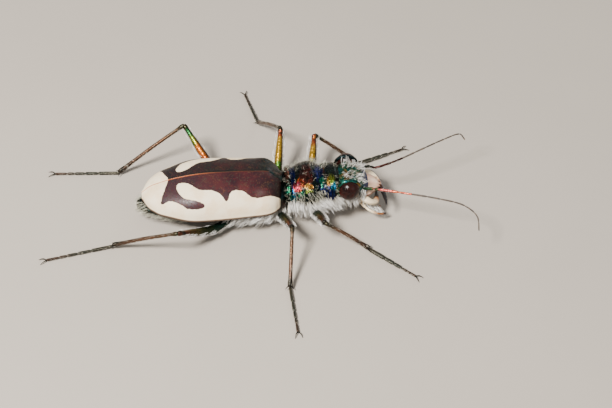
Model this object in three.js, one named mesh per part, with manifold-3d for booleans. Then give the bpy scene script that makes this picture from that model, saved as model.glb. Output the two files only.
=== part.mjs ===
// A life-size big sand tiger beetle, a male, standing with its legs spread.
// Millimetres, +X towards the head, +Y to the beetle's left, +Z up, feet on Z = 0.
import * as THREE from "three";
import { mergeVertices } from "three/addons/utils/BufferGeometryUtils.js";
import Module from "manifold-3d";

const wasm = await Module();
wasm.setup();

// Driving sizes
const gap = 0.15;
const leastRadius = 0.25;
const marginHeight = 2.0;
const headHeight = 2.75;
const elytraLength = 10.0;
const elytraHalfWidth = 2.85;
const elytraCrown = 2.05;
const elytronThickness = 0.5;
const bellyDepth = 1.15;
const pronotumLength = 3.79;
const pronotumHalfWidth = 1.95;
const headHalfWidth = 1.45;
const eyeRadii = [0.8, 0.64, 0.82];
const eyeCentre = [5.02, 1.5, 2.92];
const tarsusHeight = 0.2;

const colours = {
  elytronBrown: 0x3a1c20,
  metalGreen: 0x14453a,
  metalBlue: 0x16314a,
  legMetal: 0x3c3a24,
  eyeBrown: 0x2c1a14,
  ivory: 0xd9c3a5,
  jawBlack: 0x1a1512,
  antennaDull: 0x4c4440,
};
const material = (name, roughness, metalness) =>
  new THREE.MeshStandardMaterial({ color: colours[name], roughness, metalness });
const finish = {
  elytron: material("elytronBrown", 0.4, 0.2),
  thorax: material("metalGreen", 0.3, 0.7),
  underside: material("metalBlue", 0.35, 0.6),
  leg: material("legMetal", 0.3, 0.7),
  eye: material("eyeBrown", 0.12, 0),
  ivory: material("ivory", 0.5, 0),
  jaw: material("jawBlack", 0.3, 0.1),
  antenna: material("antennaDull", 0.6, 0),
};

const group = new THREE.Group();
const vector = (point) => new THREE.Vector3(...point);
const mirrored = (point, side) => [point[0], side * point[1], point[2]];

// Smooth curve through a few [station, value] pairs
function through(pairs) {
  const curve = new THREE.CatmullRomCurve3(
    pairs.map(([station, value]) => new THREE.Vector3(station, value, 0)),
    false,
    "centripetal",
  );
  const samples = curve.getPoints(pairs.length * 16);
  return (station) => {
    if (station <= samples[0].x) return samples[0].y;
    const next = samples.findIndex((sample) => sample.x >= station);
    if (next < 0) return samples[samples.length - 1].y;
    const [before, after] = [samples[next - 1], samples[next]];
    return before.y + ((after.y - before.y) * (station - before.x)) / Math.max(after.x - before.x, 1e-9);
  };
}

// A closed three.js geometry as a solid, with its faces turned outwards
function solid(geometry) {
  geometry.deleteAttribute("normal");
  geometry.deleteAttribute("uv");
  const merged = mergeVertices(geometry, 1e-5);
  const corners = merged.attributes.position.array;
  const faces = new Uint32Array(merged.index.array);
  const [a, b, c] = [new THREE.Vector3(), new THREE.Vector3(), new THREE.Vector3()];
  let sixVolumes = 0;
  for (let i = 0; i < faces.length; i += 3) {
    a.fromArray(corners, 3 * faces[i]);
    b.fromArray(corners, 3 * faces[i + 1]);
    c.fromArray(corners, 3 * faces[i + 2]);
    sixVolumes += a.dot(b.cross(c));
  }
  if (sixVolumes < 0)
    for (let i = 0; i < faces.length; i += 3) [faces[i + 1], faces[i + 2]] = [faces[i + 2], faces[i + 1]];
  return new wasm.Manifold(new wasm.Mesh({ numProp: 3, vertProperties: corners, triVerts: faces }));
}

const fused = (solids) => solids.reduce((whole, piece) => whole.add(piece));
const largest = (body) =>
  body.decompose().reduce((best, piece) => (piece.volume() > best.volume() ? piece : best));

function surfaceOf(body) {
  const mesh = body.getMesh();
  const geometry = new THREE.BufferGeometry();
  geometry.setAttribute("position", new THREE.BufferAttribute(new Float32Array(mesh.vertProperties), 3));
  geometry.setIndex(new THREE.BufferAttribute(new Uint32Array(mesh.triVerts), 1));
  return geometry;
}

// The mirror image across the middle plane
function flipped(body) {
  const geometry = surfaceOf(body);
  geometry.scale(1, -1, 1);
  return solid(geometry);
}

// Turns the long edge of each needle-thin face onto its neighbour, in place
function turnThinEdges(corners, faces, thinnest) {
  const corner = (i) => new THREE.Vector3().fromArray(corners, 3 * i);
  const turns = (i) => [0, 1, 2].map((k) => [0, 1, 2].map((step) => faces[i + ((k + step) % 3)]));
  for (let i = 0; i < faces.length; i += 3) {
    const length = ([a, b]) => corner(a).distanceTo(corner(b));
    const [a, b, c] = turns(i).reduce((best, turn) => (length(turn) > length(best) ? turn : best));
    const twiceArea = corner(b).sub(corner(a)).cross(corner(c).sub(corner(a))).length();
    if (twiceArea > thinnest * length([a, b])) continue;
    for (let j = 0; j < faces.length; j += 3) {
      const across = turns(j).find(([p, q]) => p === b && q === a);
      if (!across) continue;
      faces.splice(i, 3, a, across[2], c);
      faces.splice(j, 3, across[2], b, c);
      break;
    }
  }
}

// The same body with its slivers closed up: corners nearer than the tolerance become one
function tidied(body, tolerance) {
  const merged = mergeVertices(surfaceOf(body), tolerance);
  const faces = merged.index.array;
  const kept = [];
  for (let i = 0; i < faces.length; i += 3) {
    const [a, b, c] = [faces[i], faces[i + 1], faces[i + 2]];
    if (a !== b && b !== c && c !== a) kept.push(a, b, c);
  }
  for (let pass = 0; pass < 3; pass++) turnThinEdges(merged.attributes.position.array, kept, 0.003);
  try {
    return new wasm.Manifold(
      new wasm.Mesh({
        numProp: 3, vertProperties: merged.attributes.position.array, triVerts: new Uint32Array(kept),
      }),
    );
  } catch {
    return tolerance > 0.003 ? tidied(body, tolerance / 2) : body;
  }
}

function addNode(name, body, look) {
  const geometry = surfaceOf(largest(tidied(largest(body), 0.01)));
  geometry.computeVertexNormals();
  const made = new THREE.Mesh(geometry, look);
  made.name = name;
  group.add(made);
}

const cornered = (value, power) => Math.sign(value) * Math.abs(value) ** power;

// A lofted body along X: each ring is a superellipse with its own half-width, top and bottom
function bodyLoft({ from, to, steps, sides, halfWidth, top, bottom, middle, squareness = 2, grow = 0 }) {
  const geometry = new THREE.CylinderGeometry(1, 1, 1, sides, steps);
  const place = geometry.attributes.position;
  for (let i = 0; i < place.count; i++) {
    const along = (1 - Math.cos(Math.PI * (place.getY(i) + 0.5))) / 2;
    const x = from + (to - from) * along;
    const [across, up] = [place.getX(i), place.getZ(i)];
    const reach = Math.hypot(across, up);
    const power = 2 / squareness;
    const width = Math.max(halfWidth(x) + grow, 0.15);
    const y = reach ? width * cornered(across / reach, power) : 0;
    const height = Math.max((up > 0 ? top(x) : bottom(x)) + grow, 0.15);
    const z = reach ? height * cornered(up / reach, power) : 0;
    const endGrow = grow * Math.sign(to - from) * (2 * along - 1);
    place.setXYZ(i, x + endGrow, y * Math.min(1, reach), middle(x) + z * Math.min(1, reach));
  }
  return solid(geometry);
}

// A limb along a curve, round-ended, wider than thick where flatness is under 1
function limb({ points, radius, sides = 8, steps = 6, flatness = 1, pinch = null, endShare = 0.35 }) {
  const curve = points.length > 2
    ? new THREE.CatmullRomCurve3(points.map(vector), false, "centripetal")
    : new THREE.LineCurve3(vector(points[0]), vector(points[1]));
  const length = curve.getLength();
  const geometry = new THREE.CylinderGeometry(1, 1, 1, sides, steps);
  const place = geometry.attributes.position;
  for (let i = 0; i < place.count; i++) {
    const row = Math.round((place.getY(i) + 0.5) * steps);
    const nearEnd = Math.min(row, steps - row);
    const share = row / steps;
    const width = radius(share) * (pinch ? pinch(row, steps) : 1);
    const rounding = nearEnd === 0 ? endShare : 1;
    const centre = curve.getPointAt(share);
    const along = curve.getTangentAt(share);
    const side = new THREE.Vector3(0, 0, 1).cross(along);
    if (side.lengthSq() < 1e-4) side.set(0, 1, 0);
    side.normalize();
    const over = along.clone().cross(side);
    const reach = width * rounding;
    centre.addScaledVector(side, place.getX(i) * reach);
    centre.addScaledVector(over, place.getZ(i) * reach * flatness);
    place.setXYZ(i, centre.x, centre.y, centre.z);
  }
  return { body: solid(geometry), length };
}

function ball(centre, radii, around = 10, rows = 8) {
  const [rx, ry, rz] = Array.isArray(radii) ? radii : [radii, radii, radii];
  const geometry = new THREE.SphereGeometry(1, around, rows);
  geometry.scale(rx, ry, rz);
  geometry.translate(...centre);
  return solid(geometry);
}

function block(low, high) {
  const size = high.map((value, i) => value - low[i]);
  const geometry = new THREE.BoxGeometry(...size);
  geometry.translate(...low.map((value, i) => value + size[i] / 2));
  return solid(geometry);
}

// Seeded draws, so that each build is the same
let seed = 7;
function draw() {
  seed = (seed * 1664525 + 1013904223) % 4294967296;
  return seed / 4294967296;
}
const vary = (value, share) => value * (1 + share * (2 * draw() - 1));

// A tapered lock of white bristles: rooted inside the body, bending along its lie
function lock(root, outward, lie, length, width = 0.27) {
  const start = vector(root);
  const out = vector(outward).normalize();
  const bend = vector(lie).normalize();
  const reach = vary(length, 0.18);
  const inside = start.clone().addScaledVector(out, -0.3);
  const halfway = start.clone().addScaledVector(out, 0.4 * reach).addScaledVector(bend, 0.15 * reach);
  const tip = start.clone().addScaledVector(out, 0.55 * reach).addScaledVector(bend, 0.65 * reach);
  const points = [inside, halfway, tip].map((point) => point.toArray());
  const rootRadius = vary(width, 0.08);
  const radius = (share) => rootRadius * (1 - 0.9 * share ** 1.6);
  return limb({ points, radius, sides: 4, steps: 3, flatness: 0.93, endShare: 1 }).body;
}

// Elytra: a dome over the abdomen, parted along the suture
const elytraWidth = through([
  [-elytraLength, 0.35], [-9.75, 0.95], [-9.1, 1.72], [-8, 2.3], [-6, elytraHalfWidth],
  [-4, 2.78], [-2, 2.6], [-0.8, 2.5], [-0.2, 2.2], [0, 1.6],
]);
const elytraTop = through([
  [-elytraLength, 0.45], [-9.6, 0.85], [-8.6, 1.35], [-7, 1.8], [-4.5, elytraCrown],
  [-2, 2.0], [-0.6, 1.8], [0, 1.35],
]);
const elytraBottom = () => 0.3;
const level = (height) => () => height;
const elytraSizes = { from: -elytraLength, to: 0, middle: level(marginHeight), squareness: 2.25 };
const dome = (grow, extraBottom = 0) =>
  bodyLoft({
    ...elytraSizes, steps: grow ? 12 : 18, sides: grow ? 18 : 26, grow,
    halfWidth: elytraWidth, top: elytraTop, bottom: (x) => elytraBottom(x) + extraBottom,
  });
const scutellumHalfWidth = 0.55;
const scutellumLength = 0.9;
function scutellumPrism(grow, low, high) {
  const outline = new THREE.Shape();
  outline.moveTo(0.25 + grow, scutellumHalfWidth + grow);
  outline.lineTo(-0.1, scutellumHalfWidth + grow);
  outline.lineTo(-scutellumLength - 1.4 * grow, 0);
  outline.lineTo(-0.1, -scutellumHalfWidth - grow);
  outline.lineTo(0.25 + grow, -scutellumHalfWidth - grow);
  outline.closePath();
  const geometry = new THREE.ExtrudeGeometry(outline, { depth: high - low, bevelEnabled: false });
  geometry.translate(0, 0, low);
  return solid(geometry);
}
const hollow = dome(-elytronThickness, 3).add(block([-0.72, -1.87, -1], [0.4, 1.87, marginHeight + 0.97]));
const notch = scutellumPrism(gap, marginHeight, 6);
const wingCase = dome(0).intersect(block([-12, gap / 2, -1], [1, 6, 6])).subtract(hollow).subtract(notch);
addNode("elytron_left", wingCase, finish.elytron);
addNode("elytron_right", flipped(wingCase), finish.elytron);

// Abdomen: fills the elytra and shows its rings below and behind them
const ringCount = 6;
const abdomenFront = -3.95;
const abdomenEnd = -elytraLength - 0.45;
const ringLength = (abdomenFront - abdomenEnd) / ringCount;
const ringStep = (x) => 0.06 * (((abdomenFront - x) / ringLength) % 1);
const abdomenWidth = through([
  [abdomenEnd, 0.4], [-10.1, 0.62], [-9.5, 0.82], [-9, 1.0], [-8, 1.5], [-6, 2.08], [-4, 2.0], [abdomenFront, 1.9],
]);
const abdomenTop = through([[abdomenEnd, 0.28], [-9.6, 0.32], [-9, 0.36], [-8, 0.7], [-7, 1.0], [-4, 1.28]]);
const abdomenBottom = through([[abdomenEnd, 0.24], [-10, 0.36], [-9, 0.66], [-7, 1.05], [abdomenFront, bellyDepth]]);
const abdomenMiddle = through([[abdomenEnd, 1.12], [-9.5, 1.2], [-8.8, 1.45], [-7, 1.88], [abdomenFront, 1.95]]);
addNode(
  "abdomen",
  bodyLoft({
    from: abdomenEnd, to: abdomenFront, steps: 18, sides: 14, middle: abdomenMiddle,
    halfWidth: abdomenWidth, top: abdomenTop, bottom: (x) => abdomenBottom(x) - ringStep(x), squareness: 2.2,
  }),
  finish.underside,
);

const elytraClear = dome(gap).subtract(dome(-elytronThickness - gap, 3));

// Middle and hind thorax, in one piece under the front of the elytra
const thoraxFront = 0.28;
const thoraxBack = abdomenFront + gap;
const thoraxWidth = through([[thoraxBack, 1.85], [-2, 1.85], [-0.7, 1.65], [-0.15, 1.5], [thoraxFront, 1.0]]);
const thoraxTop = through([[thoraxBack, 1.2], [-1.5, 1.05], [-0.8, 0.72], [-0.2, 0.7], [thoraxFront, 0.6]]);
const thoraxBottom = through([[thoraxBack, 1.2], [-2, 1.3], [-0.2, 1.1], [thoraxFront, 0.75]]);
const thorax = (grow) =>
  bodyLoft({
    from: thoraxBack, to: thoraxFront, steps: 10, sides: 16, middle: level(marginHeight - 0.02), grow,
    halfWidth: thoraxWidth, top: thoraxTop, bottom: thoraxBottom, squareness: 2.3,
  });

// A row of locks down each flank: places along X, heights, and the way that they lie
function flankLocks({ side, places, halfWidth, height, out, lie, length }) {
  return places.map((x, i) => {
    const root = [x, side * (halfWidth(x) - 0.08), height(i)];
    return lock(root, [out[0], side * out[1], out[2]], [lie[0], side * lie[1], lie[2]], length);
  });
}
const spaced = (from, to, count) =>
  Array.from({ length: count }, (_, i) => from + ((to - from) * (i + 0.5)) / count);

const thoraxLocks = [1, -1].flatMap((side) =>
  flankLocks({
    side, places: spaced(-2.9, 0.2, 7), halfWidth: thoraxWidth, height: (i) => 1.25 - 0.2 * (i % 2),
    out: [-0.3, 1, -0.35], lie: [-1, 0.3, -0.35], length: 0.85,
  }),
);

// Prothorax, with its front and back collars and the grooves behind them
const pronotumBack = thoraxFront + gap;
const pronotumFront = pronotumBack + pronotumLength;
const pronotumWidth = through([
  [pronotumBack, 1.35], [pronotumBack + 0.2, 1.62], [pronotumBack + 0.5, 1.55], [pronotumBack + 0.75, 1.68],
  [pronotumBack + 1.55, pronotumHalfWidth], [pronotumBack + 2.2, 1.8], [pronotumBack + 2.5, 1.56],
  [pronotumBack + 2.8, 1.6], [pronotumFront - 0.3, 1.62], [pronotumFront, 1.3],
]);
const pronotumTop = through([
  [pronotumBack, 1.0], [pronotumBack + 0.2, 1.2], [pronotumBack + 0.5, 1.06], [pronotumBack + 0.8, 1.24],
  [pronotumBack + 1.55, 1.36], [pronotumBack + 2.1, 1.26], [pronotumBack + 2.5, 1.04],
  [pronotumBack + 2.85, 1.14], [pronotumFront - 0.3, 1.12], [pronotumFront, 0.9],
]);
const pronotumBottom = through([[pronotumBack, 0.9], [pronotumBack + 1.5, 1.35], [pronotumFront, 0.95]]);
const pronotumMiddle = through([[pronotumBack, 2.3], [pronotumFront, 2.55]]);
const prothorax = (grow) =>
  bodyLoft({
    from: pronotumBack, to: pronotumFront, steps: 14, sides: 18, middle: pronotumMiddle, grow,
    halfWidth: pronotumWidth, top: pronotumTop, bottom: pronotumBottom, squareness: 2.1,
  });
const prothoraxLocks = [1, -1].flatMap((side) => [
  ...flankLocks({
    side, places: spaced(1.2, 4.2, 6), halfWidth: pronotumWidth, height: () => 2.3,
    out: [0.1, 1, 0], lie: [0.5, 0.6, -0.7], length: 0.8,
  }),
  ...flankLocks({
    side, places: spaced(1.4, 4.1, 5), halfWidth: (x) => pronotumWidth(x) - 0.35, height: () => 1.6,
    out: [0.1, 1, -0.6], lie: [0.6, 0.4, -0.8], length: 0.85,
  }),
]);

// Head: eyes in their sockets, white hair on the brow and the cheeks
const headBack = pronotumFront + gap;
const headFront = 6.25;
const headWidth = through([
  [headBack, 1.05], [headBack + 0.3, headHalfWidth], [5.2, headHalfWidth], [5.7, 1.38], [6.05, 1.25], [headFront, 1.05],
]);
const headTop = through([[headBack, 0.75], [4.9, 0.92], [5.5, 0.85], [6, 0.55], [headFront, 0.2]]);
const headBottom = through([[headBack, 0.7], [5.2, 0.95], [6, 0.8], [headFront, 0.5]]);
const headMiddle = through([[headBack, 2.7], [5.4, headHeight], [headFront, 2.6]]);
const headLocks = [1, -1].flatMap((side) => [
  ...flankLocks({
    side, places: spaced(4.6, 5.5, 3), halfWidth: (x) => headWidth(x) - 0.3, height: () => 2.2,
    out: [-0.2, 1, -0.9], lie: [0, 0.2, -1], length: 0.75,
  }),
  ...spaced(4.9, 5.9, 3).map((x) =>
    lock([x, side * 0.42, headMiddle(x) + headTop(x) - 0.1], [0.3, side * 0.3, 1], [0.7, side * 0.8, 0.15], 0.55, 0.26),
  ),
]);
const eyeSide = (side) => mirrored(eyeCentre, side);
const sockets = [1, -1].map((side) => ball(eyeSide(side), eyeRadii.map((r) => r + gap), 14, 8));
const headShape = (grow) =>
  bodyLoft({
    from: headBack, to: headFront, steps: 10, sides: 18, middle: headMiddle, grow,
    halfWidth: headWidth, top: headTop, bottom: headBottom, squareness: 2.2,
  });
const headClear = headShape(gap);
const head = sockets.reduce((rest, socket) => rest.subtract(socket), fused([headShape(0), ...headLocks]));
addNode("head", head, finish.thorax);
for (const [side, name] of [[1, "left"], [-1, "right"]])
  addNode(`eye_${name}`, ball(eyeSide(side), eyeRadii, 16, 10), finish.eye);

// Labrum: the ivory upper lip, arched, with a toothed front edge
const labrumBack = headFront + gap;
const labrumLength = 1.1;
const lip = new THREE.Shape();
const lipHalfWidth = 1.2;
lip.moveTo(0, -lipHalfWidth);
lip.lineTo(0, lipHalfWidth);
lip.quadraticCurveTo(0.75, 1.1, 0.85, 0.5);
for (const [reach, across] of [[0.75, 0.38], [0.98, 0.25], [0.85, 0.13], [labrumLength, 0], [0.85, -0.13], [0.98, -0.25], [0.75, -0.38], [0.85, -0.5]])
  lip.lineTo(reach, across);
lip.quadraticCurveTo(0.75, -1.1, 0, -lipHalfWidth);
const lipGeometry = new THREE.ExtrudeGeometry(lip, { depth: 0.42, bevelEnabled: false, curveSegments: 4 });
const lipPlace = lipGeometry.attributes.position;
const lipDrop = 0.28;
for (let i = 0; i < lipPlace.count; i++) {
  const [x, y, z] = [lipPlace.getX(i), lipPlace.getY(i), lipPlace.getZ(i)];
  lipPlace.setXYZ(i, labrumBack + x, y, 2.52 + z - lipDrop * x - 0.24 * y * y);
}
addNode("labrum", solid(lipGeometry), finish.ivory);

// Mandibles: long curved jaws with inner teeth, closed so that the left one crosses over the right one
const jaws = {
  left: {
    side: 1, points: [[5.9, 1.0, 1.85], [6.5, 1.38, 1.82], [6.98, 0.75, 1.8], [7.36, -0.3, 1.8], [7.62, -1.55, 1.62]],
    teeth: [[[6.85, 0.95, 1.78], [6.55, 0.45, 1.74]], [[7.2, 0.2, 1.78], [6.82, -0.1, 1.74]]],
  },
  right: {
    side: -1, points: [[5.9, -1.0, 1.85], [6.4, -1.38, 1.72], [6.85, -1.15, 1.4], [7.05, -0.45, 1.26], [7.1, 0.4, 1.22]],
    teeth: [[[6.7, -1.2, 1.5], [6.5, -0.75, 1.45]], [[6.98, -0.7, 1.32], [6.66, -0.5, 1.34]]],
  },
};
for (const [name, { side, points, teeth }] of Object.entries(jaws)) {
  const jaw = limb({ points, radius: (share) => 0.37 * (1 - share) ** 0.7 + 0.07, sides: 8, steps: 8, flatness: 0.85 }).body;
  const cusps = teeth.map((cusp) =>
    limb({ points: cusp, radius: (share) => 0.19 - 0.14 * share, sides: 5, steps: 2, endShare: 1 }).body,
  );
  addNode(`mandible_${name}`, fused([jaw, ...cusps]).subtract(headClear), finish.jaw);

  // Palps: the outer pair bare, the inner pair with long white bristles
  const maxillary = limb({
    points: [[5.75, 0.95, 1.35], [6.5, 1.75, 1.15], [7.2, 1.95, 0.95], [7.75, 1.7, 0.72]].map((point) => mirrored(point, side)),
    radius: (share) => leastRadius * (1 - 0.3 * share), sides: 7, steps: 9,
    pinch: (row) => (row % 3 === 0 ? 0.8 : 1),
  }).body;
  addNode(`maxillary_palp_${name}`, maxillary.subtract(headClear), finish.jaw);
  const labialPoints = [[5.85, 0.35, 1.25], [6.45, 0.6, 0.9], [7.0, 0.75, 0.68], [7.35, 0.7, 0.5]];
  const labial = limb({
    points: labialPoints.map((point) => mirrored(point, side)),
    radius: (share) => leastRadius * (1 - 0.3 * share), sides: 7, steps: 6,
    pinch: (row) => (row % 2 === 0 ? 0.85 : 1),
  }).body;
  const bristles = [0.25, 0.6].map((reach) =>
    lock(
      mirrored([6.3 + reach, 0.68, 0.72], side), [0.3, side * 0.5, -0.8], [0.6, side * 0.3, -0.6], 0.55, leastRadius,
    ),
  );
  addNode(`labial_palp_${name}`, fused([labial, ...bristles]).subtract(headClear), finish.ivory);
}

// Antennae: eleven joints each, the first four metallic and the rest dull
const antennaPaths = {
  right: [[5.95, -1.05, 2.95], [6.5, -1.4, 3.0], [7.35, -1.78, 3.2], [9.21, -2.62, 3.5], [11.28, -3.38, 3.6], [12.9, -3.8, 3.3], [13.83, -4.58, 2.9], [13.86, -5.69, 2.5]],
  left: [[5.95, 1.0, 2.95], [6.5, 0.95, 3.05], [7.12, 0.6, 3.2], [8.71, 0.95, 3.5], [10.38, 1.58, 3.8], [12.08, 2.31, 4.0], [13.44, 3.08, 3.8], [13.87, 2.83, 3.4]],
};
const antennaSplit = 0.4;
for (const [name, path] of Object.entries(antennaPaths)) {
  const curve = new THREE.CatmullRomCurve3(path.map(vector), false, "centripetal");
  const stretch = (from, to, count) =>
    Array.from({ length: count }, (_, i) => curve.getPointAt(from + ((to - from) * i) / (count - 1)).toArray());
  const splitGap = (gap + 0.02) / curve.getLength();
  const base = limb({
    points: stretch(0, antennaSplit - splitGap / 2, 8), radius: (share) => 0.31 - 0.05 * share, sides: 7, steps: 12,
    pinch: (row) => (row % 3 === 0 ? 0.84 : 1), endShare: 0.9,
  }).body;
  const tip = limb({
    points: stretch(antennaSplit + splitGap / 2, 1, 10), radius: (share) => leastRadius - 0.07 * share, sides: 7,
    steps: 14, pinch: (row) => (row % 2 === 0 ? 0.86 : 1), endShare: 0.9,
  }).body;
  const socket = ball(eyeSide(name === "left" ? 1 : -1), eyeRadii.map((r) => r + gap), 12, 8);
  addNode(`antenna_${name}_base`, base.subtract(headClear).subtract(socket), finish.leg);
  addNode(`antenna_${name}_tip`, tip, finish.antenna);
}

// Legs: hip, knee, ankle and toe places in millimetres, from the standing pose
const legs = {
  front_right: { coxa: [2.5, -0.75, 1.6], hip: [2.35, -1.35, 0.95], knee: [3.0, -3.93, 2.3], ankle: [6.13, -4.72, 0.45], toe: [9.23, -7.55], broad: true },
  front_left: { coxa: [2.5, 0.75, 1.6], hip: [2.35, 1.35, 0.95], knee: [2.86, 4.7, 2.9], ankle: [6.04, 4.16, 0.45], toe: [9.6, 5.6], broad: true },
  middle_right: { coxa: [-0.2, -0.75, 1.3], hip: [-0.15, -1.35, 0.8], knee: [0.62, -4.61, 2.7], ankle: [0.21, -8.13, 0.42], toe: [0.5, -12.26] },
  middle_left: { coxa: [-0.2, 0.75, 1.3], hip: [-0.15, 1.35, 0.8], knee: [0.39, 5.3, 3.2], ankle: [-1.14, 9.21, 0.42], toe: [-1.98, 12.6] },
  hind_right: { coxa: [-3.0, -0.75, 1.25], hip: [-3.5, -1.65, 0.72], knee: [-7.52, -4.54, 2.6], ankle: [-12.28, -3.13, 0.42], toe: [-17.08, -4.14], sag: -0.42 },
  hind_left: { coxa: [-3.0, 0.75, 1.25], hip: [-3.5, 1.65, 0.72], knee: [-6.77, 5.69, 3.6], ankle: [-11.8, 4.43, 0.42], toe: [-16.6, 4.75], sag: -0.5 },
};
const hipRadius = 0.36;
const kneeRadius = 0.3;
const ankleRadius = leastRadius;
const thoraxClear = thorax(gap);
const prothoraxClear = prothorax(gap);
const femurClear = [];
const between = (from, to, share, lift = 0) =>
  from.map((value, i) => value + (to[i] - value) * share + (i === 2 ? lift : 0));

for (const [name, leg] of Object.entries(legs)) {
  const side = Math.sign(leg.hip[1]);
  const body = name.startsWith("front") ? prothoraxClear : thoraxClear;
  const coxaBody = fused([
    limb({ points: [leg.coxa, leg.hip], radius: (share) => 0.62 - 0.26 * share, sides: 7, steps: 3, endShare: 0.9 }).body,
    ball(leg.hip, hipRadius, 7, 5),
  ]);
  const coxaLocks = name.startsWith("hind") ? [] : [-0.3, 0.15].map((shift) =>
    lock(
      [leg.hip[0] + shift, leg.hip[1] - side * 0.15, leg.hip[2] + 0.25],
      [-0.4 + shift, side * 0.5, -0.15], [-0.7, side * 0.6, -0.1], 0.6, leastRadius,
    ),
  );
  const floor = block([-20, -15, -2], [20, 15, 0.2]);
  const thigh = (grow) =>
    limb({
      points: [leg.hip, between(leg.hip, leg.knee, 0.45, leg.sag ?? 0.15), leg.knee],
      radius: (share) => 0.33 + grow + 0.1 * Math.sin(Math.PI * Math.min(1, share * 1.3)) - 0.07 * share,
      sides: 7, steps: 6, endShare: 0.9,
    }).body;
  femurClear.push(thigh(gap));
  const femurSolid = fused([thigh(0), ball(leg.knee, kneeRadius, 8, 5)]);
  const hipClear = ball(leg.hip, hipRadius + gap, 8, 6);
  addNode(`coxa_${name}`, fused([coxaBody, ...coxaLocks]).subtract(body).subtract(floor), finish.underside);
  addNode(`femur_${name}`, femurSolid.subtract(hipClear).subtract(body).subtract(elytraClear), finish.leg);

  const shin = vector(leg.ankle).sub(vector(leg.knee)).normalize();
  const spurs = [1, -1].map((way) => {
    const root = vector(leg.ankle).addScaledVector(shin, -0.25);
    const end = vector(leg.ankle).addScaledVector(shin, 0.22);
    const across = new THREE.Vector3(0, 0, 1).cross(shin).normalize().multiplyScalar(way);
    end.addScaledVector(across, 0.42);
    root.addScaledVector(across, 0.08);
    end.z = Math.max(end.z, 0.16);
    return limb({
      points: [root.toArray(), end.toArray()], radius: (share) => 0.15 - 0.12 * share, sides: 4, steps: 1, endShare: 1,
    }).body;
  });
  const tibia = fused([
    limb({
      points: [leg.knee, leg.ankle], radius: (share) => leastRadius + 0.02 * share, sides: 6, steps: 4, endShare: 0.9,
    }).body,
    ball(leg.ankle, ankleRadius, 6, 5),
    ...spurs,
  ]);
  addNode(`tibia_${name}`, tibia.subtract(ball(leg.knee, kneeRadius + gap, 8, 6)), finish.leg);

  // Tarsus: five joints along the floor, flat underneath, ending in two claws
  const toe = [...leg.toe, tarsusHeight];
  const foot = [leg.ankle[0], leg.ankle[1], tarsusHeight + 0.1];
  const steps = 10;
  const broadening = (share) => (leg.broad && share < 0.62 ? 1.35 : 1);
  const toes = limb({
    points: [foot, between(foot, toe, 0.15, -0.07), between(foot, toe, 0.5), toe],
    radius: (share) => (leastRadius - 0.03 * share) * broadening(share), sides: 6, steps,
    pinch: (row) => (row % 2 === 0 && row > 0 ? 0.82 : 1), flatness: 1,
  }).body;
  const stride = vector(toe).sub(vector(foot)).setZ(0).normalize();
  const turned = new THREE.Vector3(-stride.y, stride.x, 0);
  const claws = [1, -1].map((way) => {
    const root = vector(toe).addScaledVector(stride, -0.15);
    const middle = vector(toe).addScaledVector(stride, 0.22).addScaledVector(turned, 0.17 * way).setZ(0.26);
    const tip = vector(toe).addScaledVector(stride, 0.52).addScaledVector(turned, 0.3 * way).setZ(0.08);
    return limb({
      points: [root, middle, tip].map((point) => point.toArray()), radius: (share) => 0.14 - 0.1 * share,
      sides: 4, steps: 2, endShare: 1,
    }).body;
  });
  const ground = block([-25, -20, -3], [25, 20, 0]);
  const ankleClear = ball(leg.ankle, ankleRadius + gap, 8, 6);
  addNode(
    `tarsus_${name}`,
    fused([toes, ...claws]).subtract(ankleClear).subtract(fused(spurs)).subtract(ground),
    finish.leg,
  );
}

const clearOf = (locks, others) =>
  locks.filter((one) => others.every((other) => one.intersect(other).volume() < 1e-6));
addNode("prothorax", fused([prothorax(0), ...clearOf(prothoraxLocks, [...sockets, ...femurClear])]), finish.thorax);
addNode("thorax", fused([thorax(0), ...clearOf(thoraxLocks, [elytraClear, ...femurClear])]), finish.underside);
addNode("scutellum", scutellumPrism(0, marginHeight + 1.15, 6).intersect(dome(0)), finish.thorax);

// The floor under the middle of the whole is the origin
const bounds = new THREE.Box3().setFromObject(group);
group.position.set(-(bounds.min.x + bounds.max.x) / 2, -(bounds.min.y + bounds.max.y) / 2, -bounds.min.z);

export default group;
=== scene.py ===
import math
import bpy
import numpy as np
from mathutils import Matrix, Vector


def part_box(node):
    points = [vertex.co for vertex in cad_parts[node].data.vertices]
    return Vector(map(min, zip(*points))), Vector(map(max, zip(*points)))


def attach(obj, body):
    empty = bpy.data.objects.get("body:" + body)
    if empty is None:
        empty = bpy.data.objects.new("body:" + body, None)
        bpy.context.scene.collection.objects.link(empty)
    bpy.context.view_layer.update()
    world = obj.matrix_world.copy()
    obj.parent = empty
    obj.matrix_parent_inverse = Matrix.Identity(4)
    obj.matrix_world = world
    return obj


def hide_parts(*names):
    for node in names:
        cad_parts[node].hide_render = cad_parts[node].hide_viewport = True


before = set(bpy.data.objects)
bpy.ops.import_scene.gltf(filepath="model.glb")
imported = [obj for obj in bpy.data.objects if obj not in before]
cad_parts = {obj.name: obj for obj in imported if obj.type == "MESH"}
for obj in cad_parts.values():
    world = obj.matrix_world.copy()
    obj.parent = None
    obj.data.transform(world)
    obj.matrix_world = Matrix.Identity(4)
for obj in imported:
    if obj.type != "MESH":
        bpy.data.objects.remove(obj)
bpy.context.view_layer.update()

caseLength, seamGap = 0.010, 0.000075  # metres, as the solids have them
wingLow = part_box("elytron_left")[0]
# the beetle is drawn in millimetres from the middle of the wing-case base, then moved into the frame
toFrame = np.array([wingLow[0] + caseLength, wingLow[1] - seamGap, 0.0])
random = np.random.default_rng(41)
bodySides = {"left": 1, "right": -1}


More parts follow.
